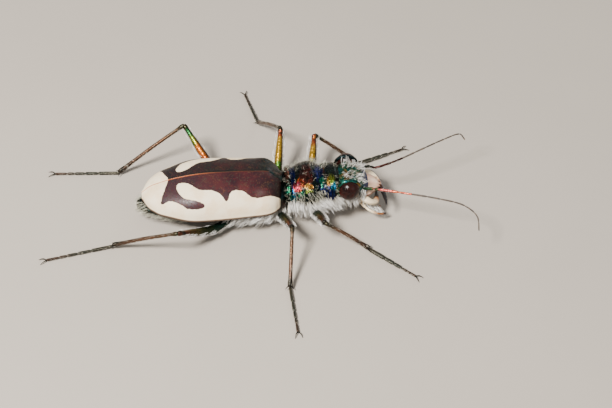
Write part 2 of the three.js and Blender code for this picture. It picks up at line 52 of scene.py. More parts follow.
def through(pairs):
    # smooth curve through a few [place, value] pairs, with no overshoot at a peak
    xs, ys = np.array(pairs, float).T
    step = np.diff(xs)
    slope = np.diff(ys) / step
    lean = np.empty_like(ys)
    lean[0], lean[-1] = slope[0], slope[-1]
    lean[1:-1] = (slope[:-1] * step[1:] + slope[1:] * step[:-1]) / (step[:-1] + step[1:])
    lean[1:-1][slope[:-1] * slope[1:] <= 0] = 0

    def at(x):
        x = np.clip(x, xs[0], xs[-1])
        i = np.clip(np.searchsorted(xs, x, side="right") - 1, 0, len(xs) - 2)
        t = (x - xs[i]) / step[i]
        t2, t3 = t * t, t * t * t
        return ((2 * t3 - 3 * t2 + 1) * ys[i] + (t3 - 2 * t2 + t) * step[i] * lean[i]
                + (3 * t2 - 2 * t3) * ys[i + 1] + (t3 - t2) * step[i] * lean[i + 1])
    return at


def level(height):
    return lambda x: height + 0 * x


def hill(x, centre, reach):
    return np.exp(-((x - centre) / reach) ** 2)


def turns(count):
    return np.linspace(0, 2 * math.pi, count, endpoint=False)


def unit(v):
    return v / np.maximum(np.linalg.norm(v, axis=-1, keepdims=True), 1e-9)


def rounded(value, power):
    return np.sign(value) * np.abs(value) ** power


def sectionPoint(shape, x, angle):
    # angle runs from the crown (0) over the left side (+) or the right side (-) to the belly (pi)
    power = 2 / shape["squareness"]
    up = np.cos(angle)
    y = shape["width"](x) * rounded(np.sin(angle), power)
    z = shape["middle"](x) + np.where(up > 0, shape["top"](x), shape["bottom"](x)) * rounded(up, power)
    return np.stack(np.broadcast_arrays(x, y, z), axis=-1)


def sectionNormal(shape, x, angle):
    e = 0.02
    along = sectionPoint(shape, x + e, angle) - sectionPoint(shape, x - e, angle)
    around = sectionPoint(shape, x, angle + e) - sectionPoint(shape, x, angle - e)
    normal = unit(np.cross(around, along))
    outward = sectionPoint(shape, x, angle) - np.stack([x, 0 * x, shape["middle"](x)], axis=-1)
    return normal * np.sign(np.sum(normal * outward, axis=-1, keepdims=True) + 1e-9)


def smoothPath(points, count):
    points = [Vector(p) for p in points]
    ends = [2 * points[0] - points[1]] + points + [2 * points[-1] - points[-2]]
    fine = []
    for a, b, c, d in zip(ends, ends[1:], ends[2:], ends[3:]):
        for k in range(24):
            t = k / 24
            fine.append(0.5 * ((2 * b) + (c - a) * t + (2 * a - 5 * b + 4 * c - d) * t ** 2
                               + (3 * b - a - 3 * c + d) * t ** 3))
    fine = np.array([tuple(p) for p in fine + [points[-1]]])
    run = np.concatenate([[0], np.cumsum(np.linalg.norm(np.diff(fine, axis=0), axis=1))])
    want = np.linspace(0, run[-1], count)
    return np.stack([np.interp(want, run, fine[:, k]) for k in range(3)], axis=1)


def pathFrames(path):
    along = unit(np.gradient(path, axis=0))
    side = unit(np.cross([0.0, 0.0, 1.0], along))
    return along, side, np.cross(along, side)


def addPiece(name, form, finish, slotName, *nodes):
    mesh = bpy.data.meshes.new(name)
    mesh.from_pydata((form["points"] * 0.001 + toFrame).tolist(), [], form["faces"])
    mesh.validate()
    for key, numbers in form["values"].items():
        layer = mesh.attributes.new(key, "FLOAT", "POINT")
        layer.data.foreach_set("value", np.asarray(numbers, np.float32).ravel())
    mesh.polygons.foreach_set("use_smooth", [True] * len(mesh.polygons))
    mesh.materials.append(finishes[finish])
    piece = bpy.data.objects.new(name, mesh)
    bpy.context.scene.collection.objects.link(piece)
    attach(piece, "root")
    if nodes:
        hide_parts(*nodes)
    return piece


def gridFaces(rows, columns, closed=True, first=0):
    faces = []
    for r in range(rows - 1):
        for c in range(columns if closed else columns - 1):
            a = first + r * columns + c
            b = first + r * columns + (c + 1) % columns
            faces.append((a, b, b + columns, a + columns))
    return faces


def turned(faces):
    return [face[::-1] for face in faces]


def ringFaces(rows, columns):
    # rings from back to front, closed by a flat face at each end
    first, last = range(columns), range((rows - 1) * columns, rows * columns)
    return turned(gridFaces(rows, columns)) + [tuple(first), tuple(last)[::-1]]


def mirrored(grid, faces, values, side):
    # drawn for the left side (1), turned over for the right side (-1)
    return {"points": grid.reshape(-1, 3) * [1, side, 1], "values": values,
            "faces": turned(faces) if side < 0 else faces}


def joinMeshes(parts):
    points, faces, values = [], [], {}
    for part in parts:
        base = sum(len(p) for p in points)
        points.append(part["points"])
        faces += [tuple(base + i for i in face) for face in part["faces"]]
        for key, numbers in part["values"].items():
            values.setdefault(key, []).append(numbers)
    return {"points": np.concatenate(points), "faces": faces,
            "values": {key: np.concatenate(numbers) for key, numbers in values.items()}}


def closedBody(shape, rows, columns, dent=None):
    # a whole body part: rings from back to front, with a domed cap at each end
    t = (1 - np.cos(np.linspace(0, math.pi, rows))) / 2
    size = shape["front"] - shape["back"]
    xs = shape["back"] + size * (0.6 * t + 0.4 * np.linspace(0, 1, rows))
    x, angle = np.meshgrid(xs, turns(columns), indexing="ij")
    grid = sectionPoint(shape, x, angle)
    if dent:
        grid = grid + dent(grid, x, angle)
    caps = []
    for ring, bulge in ((grid[0], -0.18), (grid[-1], 0.18)):
        centre = ring.mean(axis=0)
        bulge *= min(1.0, np.ptp(ring[:, 1]) / 2)
        caps.append([centre + (ring - centre) * share + [bulge * (1 - share ** 2), 0, 0]
                     for share in (0.93, 0.8, 0.6, 0.35, 0.1)])
    rings = np.array(caps[0][::-1] + list(grid) + caps[1])
    points = rings.reshape(-1, 3)
    x, y, z = points.T
    upper = z - shape["middle"](x)
    upper = np.where(upper > 0, upper / np.maximum(shape["top"](x), 0.1), upper)
    fromCrown = np.abs(np.arctan2(y / np.maximum(shape["width"](x), 0.1), upper))
    return {"points": points, "faces": ringFaces(len(rings), columns),
            "values": {"along": (x - shape["back"]) / size, "fromCrown": fromCrown}}


def tube(points, radiusAt, around=20, rows=90, flat=1.0, tone=0.0):
    path = smoothPath(points, rows)
    along, side, over = pathFrames(path)
    share = np.linspace(0, 1, rows)
    reach = radiusAt(share)
    turn = turns(around)[:, None]
    ring = np.cos(turn) * side[:, None] + flat * np.sin(turn) * over[:, None]
    grid = path[:, None] + reach[:, None, None] * ring
    first = path[0] - along[0] * reach[0] * 0.35
    last = path[-1] + along[-1] * reach[-1] * 0.35
    allPoints = np.concatenate([[first], grid.reshape(-1, 3), [last]])
    end = len(allPoints) - 1
    faces = gridFaces(rows, around, first=1)
    faces += [(0, 1 + (c + 1) % around, 1 + c) for c in range(around)]
    faces += [(end, end - around + c, end - around + (c + 1) % around) for c in range(around)]
    shares = np.concatenate([[0], np.repeat(share, around), [1]])
    return {"points": allPoints, "faces": faces, "path": path, "radiusAt": radiusAt,
            "values": {"along": shares, "tone": np.full(len(allPoints), tone)}}


def facing(limb, ways):
    # how far each point of a limb looks one way, from -1 to 1; ways is one direction, or one for each row
    path = limb["path"]
    ways = np.broadcast_to(np.asarray(ways, float), path.shape)
    row = np.clip(np.round(limb["values"]["along"] * (len(path) - 1)).astype(int), 0, len(path) - 1)
    offset = limb["points"] - path[row]
    size = np.linalg.norm(offset, axis=1) * np.linalg.norm(ways[row], axis=1)
    return np.sum(offset * ways[row], axis=1) / np.maximum(size, 1e-6)


def spike(root, tip, radius):
    return tube([root, (root + tip) / 2, tip], lambda share: radius * (1 - share) ** 0.8 + 0.006,
                around=7, rows=8, tone=1.0)


hair = {
    "rootDepth": 0.03, "floorGap": 0.004, "taper": (1.0, 0.82, 0.5), "pull": ((3, 1.0), (2, 0.55), (1, 0.12)),
    "bends": ((0.62, 0.38, 0.36), (0.42, 0.60, 0.72), (0.22, 0.80, 1.0)),  # away from the skin, along it, reach
    # where the ten points of one hair are on its own small patch of the map
    "map": ((0, 0), (1, 0), (0.5, 0.2), (0, 0.4), (1, 0.4), (0.5, 0.5), (0, 0.7), (1, 0.7), (0.5, 0.8), (0.5, 1)),
    "along": (0, 0, 0, 0.35, 0.35, 0.35, 0.7, 0.7, 0.7, 1.0),
}


def bristles(name, roots, outward, lie, lengths, thickness, finish, places, tuft=0, gather=0.0):
    # single hairs, tapered and three-sided; tuft hairs stand together, and gather draws their tips in
    lengths = lengths[:, None]
    count, size = len(roots), len(hair["map"])
    outward, lie = unit(outward), unit(lie)
    begin = roots - outward * hair["rootDepth"]
    spine = [begin] + [begin + (outward * rise + lie * lean) * lengths * reach for rise, lean, reach in hair["bends"]]
    if tuft:
        leaders = random.choice(count, max(1, count // tuft), replace=False)
        nearest = leaders[np.argmin(np.linalg.norm(roots[:, None] - roots[leaders], axis=2), axis=1)]
        pull = (spine[3][nearest] - spine[3]) * gather
        for ring, share in hair["pull"]:
            spine[ring] = spine[ring] + pull * share
    across = unit(np.cross(outward, lie + random.normal(0, 0.15, (count, 3))))
    over = unit(np.cross(lie, across))
    corners = [spine[ring] + (across * math.cos(turn) + over * math.sin(turn)) * thickness * share
               for ring, share in enumerate(hair["taper"]) for turn in turns(3)]
    points = np.stack(corners + [spine[3]], axis=1).reshape(-1, 3)
    points[:, 2] = np.maximum(points[:, 2], hair["floorGap"])
    oneHair = [(r + c, r + (c + 1) % 3, r + 3 + (c + 1) % 3, r + 3 + c) for r in (0, 3) for c in range(3)]
    oneHair += [(6, 7, 9), (7, 8, 9), (8, 6, 9), (0, 2, 1)]
    faces = [tuple(first + i for i in face) for first in range(0, count * size, size) for face in oneHair]
    tint = random.random(count)
    if tuft:
        tint = 0.75 * tint[nearest] + 0.25 * tint  # a tuft has nearly one tint
    values = {"tint": np.repeat(tint, size), "along": np.tile(hair["along"], count)}
    piece = addPiece(name, {"points": points, "faces": faces, "values": values}, finish, "ivory")
    layer = piece.data.uv_layers.new(name="OFBake")
    corners = np.empty(len(piece.data.loops), np.int32)
    piece.data.loops.foreach_get("vertex_index", corners)
    spots = 0.01 + 0.975 * places[corners // size] + 0.003 * np.array(hair["map"])[corners % size]
    layer.data.foreach_set("uv", spots.astype(np.float32).ravel())


coatLooks = {
    "long": {"finish": "bristle", "thickness": 0.018, "tuft": 4, "gather": 0.85},
    "brow": {"finish": "bristle", "thickness": 0.018, "tuft": 3, "gather": 0.8},
    "fine": {"finish": "fine", "thickness": 0.010, "tuft": 3, "gather": 0.6},
}


def coatOnBody(name, look, shape, patches):
    rows = []
    for stretch, angles, count, length, lie, stray, stand in patches:
        for side in (1, -1):
            x = random.uniform(*stretch, count)
            angle = np.radians(random.uniform(*angles, count)) * side
            outward = sectionNormal(shape, x, angle) * stand + random.normal(0, 0.12, (count, 3))
            lies = np.array(lie) * [1, side, 1] + random.normal(0, stray, (count, 3))
            lengths = length * random.uniform(0.65, 1.15, count)
            along = (x - shape["back"]) / (shape["front"] - shape["back"])
            place = np.stack([along, (angle / (2 * math.pi)) % 1.0], axis=1).clip(0, 0.999)
            rows.append((sectionPoint(shape, x, angle), outward, lies, lengths, place))
    roots, outward, lies, lengths, places = (np.concatenate(column) for column in zip(*rows))
    bristles(name, roots, outward, lies, lengths, look["thickness"], look["finish"], places,
             look["tuft"], look["gather"])


def limbRoots(limb, count, reach, angles, spread):
    share = random.uniform(*reach, count)
    turn = np.radians(random.choice(angles, count) + random.normal(0, spread, count))
    path = limb["path"]
    along, side, over = pathFrames(path)
    spot = share * (len(path) - 1)
    pick = np.clip(spot.astype(int), 0, len(path) - 2)
    mix = (spot - pick)[:, None]
    centre = path[pick] * (1 - mix) + path[pick + 1] * mix
    out = np.cos(turn)[:, None] * side[pick] + np.sin(turn)[:, None] * over[pick]
    places = np.stack([share, (turn / (2 * math.pi)) % 1.0], axis=1)
    return centre + out * limb["radiusAt"](share)[:, None] * 0.98, out, along[pick], places


def colour(red, green, blue):
    levels = (c / 255 for c in (red, green, blue))
    return (*(c / 12.92 if c <= 0.04045 else ((c + 0.055) / 1.055) ** 2.4 for c in levels), 1.0)


class Finish:
    # one node material, with short ways to add its nodes; a colour goes by its name in the look
    def __init__(self, name, look, roughness=0.4, metallic=0.0, specular=0.5, coat=0.0, coatRoughness=0.1):
        self.look = {key: colour(*levels) for key, levels in look.items()}
        self.material = bpy.data.materials.new(name)
        self.material.use_nodes = True
        self.tree = self.material.node_tree
        self.shader = self.tree.nodes["Principled BSDF"]
        self.feed(self.shader, {"Roughness": roughness, "Metallic": metallic, "Specular IOR Level": specular,
                                "Coat Weight": coat, "Coat Roughness": coatRoughness})
        self.millimetres = self.node("ShaderNodeTexCoord").outputs["Object"]  # metres, until the next line
        self.millimetres = self.stretched((1000, 1000, 1000))

    def node(self, kind):
        return self.tree.nodes.new(kind)

    def feed(self, node, inputs, output=None):
        for key, item in inputs.items():
            if isinstance(item, bpy.types.NodeSocket):
                self.tree.links.new(item, node.inputs[key])
            elif item is not None:
                node.inputs[key].default_value = item
        return None if output is None else node.outputs[output]

    def stretched(self, scale):
        if scale is None:
            return self.millimetres
        return self.feed(self.node("ShaderNodeMapping"), {"Vector": self.millimetres, "Scale": scale}, 0)

    def noise(self, scale, detail=4.0, stretch=None, distortion=0.0):
        return self.feed(self.node("ShaderNodeTexNoise"), {
            "Vector": self.stretched(stretch), "Scale": scale, "Detail": detail,
            "Roughness": 0.55, "Distortion": distortion}, "Fac")

    def cells(self, scale, randomness=0.85, stretch=None, output="Distance"):
        return self.feed(self.node("ShaderNodeTexVoronoi"), {
            "Vector": self.stretched(stretch), "Scale": scale, "Randomness": randomness}, output)

    def value(self, key):
        node = self.node("ShaderNodeAttribute")
        node.attribute_name = key
        return node.outputs["Fac"]

    def math(self, operation, a, b):
        node = self.node("ShaderNodeMath")
        node.operation = operation
        return self.feed(node, {0: a, 1: b}, 0)

    def plus(self, a, b):
        return self.math("ADD", a, b)

    def times(self, a, b):
        return self.math("MULTIPLY", a, b)

    def step(self, value, low, high, atLow=0.0, atHigh=1.0):
        node = self.node("ShaderNodeMapRange")
        node.interpolation_type = "SMOOTHSTEP"
        return self.feed(node, {"Value": value, "From Min": low, "From Max": high,
                                "To Min": atLow, "To Max": atHigh}, "Result")

    def ramp(self, value, stops):
        node = self.node("ShaderNodeValToRGB")
        bar = node.color_ramp
        while len(bar.elements) < len(stops):
            bar.elements.new(0.5)
        for element, place in zip(bar.elements, stops):
            element.position = place
        for element, key in zip(bar.elements, stops.values()):
            element.color = self.look[key]
        return self.feed(node, {"Fac": value}, "Color")

    def mix(self, share, a, b, blend="MIX"):
        node = self.node("ShaderNodeMix")
        node.data_type = "RGBA"
        node.blend_type = blend
        a, b = (self.look[item] if isinstance(item, str) else item for item in (a, b))
        return self.feed(node, {0: share, 6: a, 7: b}, 2)

    def patches(self, shade, tone, pattern, low, high, atLow=0.0, atHigh=1.0):
        # the tone over the shade, where the pattern runs from low to high
        return self.mix(self.step(pattern, low, high, atLow, atHigh), shade, tone)

    def finished(self, shade, bumps=(), gloss=None):
        # bumps: [height, depth in millimetres]; gloss: scale and detail of the noise, least and most roughness
        self.feed(self.shader, {"Base Color": shade})
        if gloss:
            scale, detail, least, most = gloss
            self.feed(self.shader, {"Roughness": self.step(self.noise(scale, detail), 0.3, 0.7, least, most)})
        normal = None
        for height, depth in bumps:
            normal = self.feed(self.node("ShaderNodeBump"), {
                "Strength": 1.0, "Distance": depth * 0.001, "Height": height, "Normal": normal}, "Normal")
        self.feed(self.shader, {"Normal": normal})
        return self.material


def wingCaseFinish():
    look = {"maroon": (68, 31, 33), "plum": (42, 22, 28), "greenBlack": (14, 21, 19), "slate": (50, 36, 41),
            "ivory": (247, 231, 202), "ivoryWarm": (236, 211, 172), "copper": (190, 98, 44), "rim": (58, 34, 26),
            "pitGreen": (56, 88, 68), "pitGold": (136, 92, 50), "pitRed": (120, 42, 40)}
    f = Finish("wingCasePainted", look, specular=0.18, coat=0.05, coatRoughness=0.2)
    along, farSide, seam = f.value("along"), f.value("farSide"), f.value("seam")
    inDark = f.plus(f.value("marking"), f.step(f.noise(4.5, 3), 0.2, 0.8, -0.03, 0.03))
    dark = f.step(inDark, -0.018, 0.022)
    pits = f.cells(9.5, stretch=(1.15, 0.8, 0.8))
    pit = f.step(pits, 0.14, 0.34, 1.0, 0.0)
    # maroon ground; slate towards the tip, a painted sheen; green-black towards the base, and green-black on the far
    # side as painted shade
    ground = f.patches("maroon", "plum", f.noise(0.9, 2), 0.35, 0.68)
    ground = f.patches(ground, "slate", along, 0.2, 0.72, 0.75, 0.0)
    # darker towards the base, and painted shade over the whole far wing case
    darkBaseAndFarShade = f.plus(f.step(along, 0.78, 1.02, 0.0, 0.75), f.step(farSide, 0.0, 1.0, 0.0, 0.62))
    ground = f.mix(darkBaseAndFarShade, ground, "greenBlack")
    pitShade = f.patches("pitGreen", "pitGold", f.noise(1.7, 3), 0.4, 0.62)
    pitShade = f.patches(pitShade, "pitRed", f.noise(2.3, 3), 0.5, 0.56)
    ground = f.mix(f.times(pit, 0.62), ground, pitShade)
    # painted shadow along the seam of the far wing case, where the near one overlaps it
    ground = f.mix(f.times(farSide, f.step(seam, 0.05, 0.3, 0.8, 0.0)), ground, "greenBlack")
    # ivory, a plum line where the two meet, copper seam, brown rim
    pale = f.patches("ivory", "ivoryWarm", f.noise(1.2, 5), 0.35, 0.75)
    pale = f.patches(pale, "ivoryWarm", f.cells(7.2, 0.7), 0.05, 0.3, 0.2, 0.0)
    shade = f.mix(dark, pale, ground)
    shade = f.mix(f.times(f.times(f.step(inDark, 0.0, 0.09, 1.0, 0.0), dark), 0.35), shade, "plum")
    copper = f.times(f.step(seam, 0.03, 0.085, 1.0, 0.0), f.step(along, 0.3, 0.62, 0.95, 0.1))
    shade = f.mix(copper, shade, "copper")
    shade = f.patches(shade, "rim", f.value("rim"), -0.16, -0.08, 0.0, 0.95)
    f.feed(f.shader, {"Metallic": f.times(dark, f.plus(0.08, f.times(pit, 0.6)))})
    return f.finished(shade, [(f.times(f.step(pits, 0.1, 0.38), dark), 0.02), (f.noise(14, 3), 0.006),
                              (f.times(dark, -1.0), 0.008)], (5, 4, 0.32, 0.46))


def shieldFinish():
    # pronotum: near-black green ground with painted-in patches of structural colour, placed where it catches the
    # light; they are partly painted highlights, mostly brighter on the near side
    look = {"ground": (14, 38, 28), "black": (7, 11, 11), "blue": (12, 28, 96), "cyan": (16, 116, 140),
            "turquoise": (20, 140, 100), "lime": (104, 116, 38), "brown": (86, 36, 28), "gold": (166, 116, 44),
            "orange": (206, 92, 40), "pink": (214, 56, 84), "copper": (128, 80, 56)}
    glows = {"blue": (0.38, 0.67), "cyan": (0.48, 0.82), "turquoise": (0.48, 0.87), "lime": (0.48, 0.87),
             "brown": (0.38, 0.72), "gold": (0.48, 0.82), "orange": (0.43, 0.72), "pink": (0.43, 0.72),
             "copper": (0.48, 0.82)}
    f = Finish("shieldMetal", look, roughness=0.26, metallic=0.95, coat=0.12)
    ragged = f.step(f.noise(2.4, 4, distortion=0.6), 0.3, 0.7, -0.22, 0.22)
    shade = f.patches("ground", "black", f.noise(3.2, 4), 0.42, 0.6)
    for tone, (low, high) in glows.items():
        shade = f.patches(shade, tone, f.plus(f.value(tone + "Glow"), ragged), low, high, 0.0, 0.9)
    wrinkle = f.noise(2.4, 5, (3.6, 0.6, 0.9), 0.7)
    shade = f.patches(shade, "black", wrinkle, 0.46, 0.58, 0.0, 0.85)
    shade = f.patches(shade, "black", f.noise(6.0, 3), 0.5, 0.62, 0.0, 0.7)
    shade = f.mix(0.25, shade, f.cells(7.5, output="Color"), "OVERLAY")
    return f.finished(shade, [(wrinkle, 0.09), (f.noise(9, 3, (2.0, 0.8, 0.8)), 0.02), (f.cells(11), 0.012)],
                      (6, 3, 0.18, 0.36))


def headFinish():
    look = {"green": (20, 92, 62), "blue": (20, 46, 104), "teal": (20, 96, 100), "copper": (134, 96, 44),
            "deep": (8, 24, 26)}
    f = Finish("headMetal", look, roughness=0.3, metallic=0.9, coat=0.1)
    shade = f.ramp(f.noise(1.3, 4, distortion=0.5),
                   {0.28: "blue", 0.42: "teal", 0.52: "green", 0.64: "copper", 0.74: "green"})
    shade = f.patches(shade, "blue", f.value("along"), 0.82, 0.93)
    # darker low on the sides and underneath; on the far eye rim this is painted shade
    shade = f.patches(shade, "deep", f.value("fromCrown"), 1.35, 1.9)
    lines = f.noise(3.0, 4, (0.55, 3.4, 1.6), 0.3)
    shade = f.patches(shade, "deep", lines, 0.44, 0.58, 0.0, 0.85)
    return f.finished(shade, [(lines, 0.05), (f.cells(9), 0.014), (f.noise(16, 3), 0.008)], (7, 3, 0.22, 0.4))


def undersideFinish(name, blue, green, copper, deep):
    f = Finish(name, {"blue": blue, "green": green, "copper": copper, "deep": deep}, roughness=0.34, metallic=0.8)
    shade = f.ramp(f.noise(0.8, 4, distortion=0.4), {0.3: "blue", 0.5: "green", 0.66: "copper", 0.78: "blue"})
    shade = f.patches(shade, "deep", f.noise(5, 3), 0.4, 0.65, 0.0, 0.75)
    return f.finished(shade, [(f.cells(7), 0.02), (f.noise(10, 4), 0.012)], (4, 3, 0.26, 0.46))


def legFinish(name, metallic, roughness, stops):
    # stops: share of the limb from its root, and the colour there
    f = Finish(name, {**stops, "dark": (20, 18, 16)}, roughness, metallic)
    place = f.plus(f.value("along"), f.step(f.noise(1.4, 3), 0.3, 0.7, -0.12, 0.12))
    shade = f.ramp(place, {share: share for share in stops})
    streaks = f.noise(5.0, 4, distortion=0.4)
    shade = f.patches(shade, "dark", streaks, 0.5, 0.7, 0.0, 0.55)
    # tone darkens the limb: real dark spines and claws; on the thighs and the far feeler base it is painted shade
    shade = f.mix(f.value("tone"), shade, "dark")
    return f.finished(shade, [(f.cells(12), 0.012), (streaks, 0.012)], (8, 3, roughness - 0.06, roughness + 0.14))


def eyeFinish():
    look = {"brown": (44, 16, 12), "black": (12, 7, 8), "red": (80, 24, 18)}
    f = Finish("eyeGloss", look, roughness=0.14, specular=0.14, coat=0.12, coatRoughness=0.04)
    shade = f.ramp(f.noise(1.6, 3), {0.3: "black", 0.55: "brown", 0.75: "red"})
    facets = f.cells(26, 0.25)
    shade = f.patches(shade, "black", facets, 0.3, 0.55, 0.0, 0.45)
    return f.finished(shade, [(f.times(facets, -1.0), 0.007)])


def jawFinish():
    look = {"ivory": (232, 212, 178), "amber": (150, 92, 46), "brown": (54, 32, 22), "black": (20, 14, 14)}
    f = Finish("jawIvoryToBlack", look, roughness=0.26, coat=0.3, coatRoughness=0.15)
    place = f.plus(f.value("along"), f.step(f.noise(2.6, 3), 0.3, 0.7, -0.05, 0.05))
    shade = f.ramp(place, {0.0: "brown", 0.08: "ivory", 0.42: "ivory",
                           0.54: "amber", 0.62: "brown", 0.75: "black"})
    shade = f.patches(shade, "black", f.value("tone"), 0.4, 0.9)
    return f.finished(shade, [(f.noise(8, 4, (0.7, 2.5, 2.5)), 0.015)], (6, 4, 0.2, 0.34))


def lipFinish():
    look = {"ivory": (208, 178, 152), "pink": (184, 142, 118), "brown": (96, 58, 40)}
    f = Finish("lipIvory", look, roughness=0.34, coat=0.25, coatRoughness=0.2)
    f.feed(f.shader, {"Subsurface Weight": 0.12, "Subsurface Scale": 0.0003})
    shade = f.ramp(f.noise(1.8, 4), {0.3: "ivory", 0.7: "pink"})
    shade = f.mix(f.times(f.step(f.value("edge"), 0.0, 0.1, 1.0, 0.0), 0.85), shade, "brown")
    return f.finished(shade, [(f.noise(5, 4), 0.02), (f.cells(9), 0.01)])


def feelerFinish():
    look = {"dull": (74, 66, 60), "dark": (40, 36, 34), "warm": (104, 84, 66)}
    f = Finish("feelerDull", look, roughness=0.62, metallic=0.15)
    shade = f.ramp(f.noise(4, 4), {0.3: "dark", 0.5: "dull", 0.75: "warm"})
    shade = f.patches(shade, "dark", f.value("joint"), 0.0, 0.6, 0.7, 0.0)
    return f.finished(shade, [(f.noise(22, 3), 0.012)])


def bristleFinish(name, root, tip):
    look = {"root": root, "tip": tip, "shade": (150, 142, 126), "dust": (150, 140, 122)}
    f = Finish(name, look, roughness=0.42)
    f.feed(f.shader, {"Sheen Weight": 0.25})
    # darker towards the root: painted shade deep in the coat
    shade = f.patches("root", "tip", f.value("along"), 0.0, 0.55)
    shade = f.patches(shade, "shade", f.value("tint"), 0.35, 1.0, 0.0, 0.75)
    shade = f.patches(shade, "dust", f.noise(6, 2), 0.3, 0.7, 0.0, 0.12)
    return f.finished(shade, gloss=(9, 2, 0.36, 0.5))


legLooks = {  # material, metallic, roughness, colours along the limb
    # thigh and hindThigh, on the far legs: gold and orange that are partly painted highlights on the metal's own
    # colour; the reddish stop by the knee is a painted highlight
    "thigh": ("thighMetal", 0.9, 0.25, {
        0.0: (20, 62, 48), 0.3: (70, 110, 40), 0.5: (196, 152, 40), 0.8: (212, 166, 54), 0.94: (176, 84, 50),
        1.0: (50, 46, 30)}),
    "hindThigh": ("hindThighMetal", 0.9, 0.25, {
        0.0: (24, 70, 52), 0.4: (170, 84, 40), 0.62: (196, 108, 42), 0.78: (118, 132, 40), 0.92: (34, 104, 54),
        1.0: (50, 46, 30)}),
    # nearThigh: a darker copy of the thigh colours for the near legs, painted shade; its reddish stop by the knee is a
    # painted highlight
    "nearThigh": ("nearThighMetal", 0.85, 0.3, {
        0.0: (12, 34, 32), 0.4: (20, 56, 38), 0.7: (74, 72, 30), 0.94: (116, 62, 42), 1.0: (40, 36, 28)}),
    "shin": ("shinMetal", 0.75, 0.32, {
        0.0: (46, 48, 34), 0.35: (92, 64, 44), 0.7: (82, 60, 46), 1.0: (30, 28, 22)}),
    "foot": ("footMetal", 0.6, 0.38, {0.0: (58, 54, 42), 0.5: (46, 48, 40), 1.0: (58, 42, 32)}),
    "feelerBase": ("feelerMetal", 0.85, 0.3, {
        0.0: (16, 52, 40), 0.3: (36, 66, 34), 0.42: (196, 80, 84), 0.7: (204, 104, 66), 1.0: (150, 62, 58)}),
}
finishes = {
    "wing": wingCaseFinish(), "shield": shieldFinish(), "head": headFinish(), "eye": eyeFinish(),
    "jaw": jawFinish(), "lip": lipFinish(), "feeler": feelerFinish(),
    "under": undersideFinish("undersideMetal", (16, 30, 62), (14, 46, 42), (70, 44, 32), (10, 14, 20)),
    "belly": undersideFinish("bellyBronze", (22, 30, 34), (24, 38, 32), (66, 44, 32), (14, 13, 14)),
    "bristle": bristleFinish("bristleWhite", (168, 162, 150), (254, 253, 250)),
    "fine": bristleFinish("bristleOlive", (92, 94, 74), (206, 204, 184)),
    "spine": bristleFinish("spinePale", (96, 84, 70), (190, 182, 166)),
    **{key: legFinish(*look) for key, look in legLooks.items()},
}
print("finishes ready:", len(finishes))


wingCase = {
    "back": -10.0, "front": 0.0, "squareness": 2.25, "middle": level(2.0), "bottom": level(0.3),
    "width": through([(-10, 0.35), (-9.75, 0.95), (-9.1, 1.72), (-8, 2.3), (-6, 2.85), (-4, 2.78), (-2, 2.62),
                      (-1.3, 2.56), (-0.7, 2.4), (-0.3, 2.12), (-0.08, 1.8), (0, 1.5)]),
    "top": through([(-10, 0.45), (-9.6, 0.85), (-8.6, 1.35), (-7, 1.8), (-4.5, 2.05), (-2, 2.0), (-0.6, 1.8),
                    (0, 1.35)]),
    "wrap": 128, "rimAngle": 92, "seamGap": 0.012, "thickness": 0.16,
    "seamLift": {"right": 0.02, "left": -0.045},
    "markingSpread": {"right": 1.0, "left": 1.07},  # how far from the seam the marking reaches on each side
    "bumps": [(-0.95, 0.55, 1.75, 0.4, 0.09), (-1.0, 0.7, 1.0, 0.38, -0.07)],  # x, reach, y, reach, height
    # outline of the dark ground: [x, distance over the curve from the seam], the rest is ivory
    "darkGround": [
        (0.3, -1), (0.3, 1.8), (-0.45, 1.96), (-1.04, 2.17), (-1.62, 2.26), (-2.12, 2.22), (-2.46, 1.95),
        (-2.74, 1.72), (-3.16, 1.64), (-3.53, 1.72), (-3.71, 1.95), (-3.78, 2.28), (-3.92, 2.46), (-4.06, 2.42),
        (-4.16, 2.2), (-4.28, 2.0), (-4.5, 1.8), (-4.81, 1.64), (-5.24, 1.53), (-5.81, 1.5), (-6.09, 1.3),
        (-6.44, 0.94), (-6.72, 0.74), (-7.08, 0.6), (-7.37, 0.64), (-7.52, 0.86), (-7.46, 1.21), (-7.26, 1.58),
        (-6.99, 1.92), (-6.49, 2.12), (-5.93, 2.34), (-5.62, 2.5), (-5.5, 2.68), (-5.6, 2.84), (-5.95, 2.9),
        (-6.4, 2.84), (-6.85, 2.72), (-7.1, 2.44), (-7.36, 2.22), (-7.64, 2.02), (-7.98, 1.84), (-8.26, 1.86),
        (-8.5, 1.94), (-8.68, 1.8), (-8.62, 1.46), (-8.44, 1.1), (-8.32, 0.72), (-8.17, 0.38), (-8.09, 0.11),
        (-8.0, -1)],
}


def distanceToOutline(points, outline):
    # signed distance, positive inside
    best = np.full(len(points), 1e9)
    inside = np.zeros(len(points), bool)
    for a, b in zip(outline, np.roll(outline, -1, axis=0)):
        edge = b - a
        t = np.clip(((points - a) @ edge) / max(edge @ edge, 1e-9), 0, 1)
        best = np.minimum(best, np.linalg.norm(points - a - t[:, None] * edge, axis=1))
        crosses = (a[1] > points[:, 1]) != (b[1] > points[:, 1])
        where = (b[0] - a[0]) * (points[:, 1] - a[1]) / (b[1] - a[1] + 1e-12) + a[0]
        inside ^= crosses & (points[:, 0] < where)
    return np.where(inside, best, -best)


def softenedOutline(outline, rounds=2):
    corners = np.array(outline, float)
    for _ in range(rounds):
        after = np.roll(corners, -1, axis=0)
        cut = [0.75 * corners + 0.25 * after, 0.25 * corners + 0.75 * after]
        corners = np.stack(cut, axis=1).reshape(-1, 2)
    return corners


def endRings(ring, way):
    # the front and back ends of a wing case turn down and in as a rounded lip
    centre = np.array([ring[0, 0], 0.0, 2.0])
    return [centre + (ring - centre) * share + [way * push, 0, 0]
            for share, push in ((0.97, 0.035), (0.9, 0.05), (0.82, 0.0))]


def bothSkins(outside, inside):
    return np.concatenate([outside, inside + 0 * outside], axis=1).ravel()


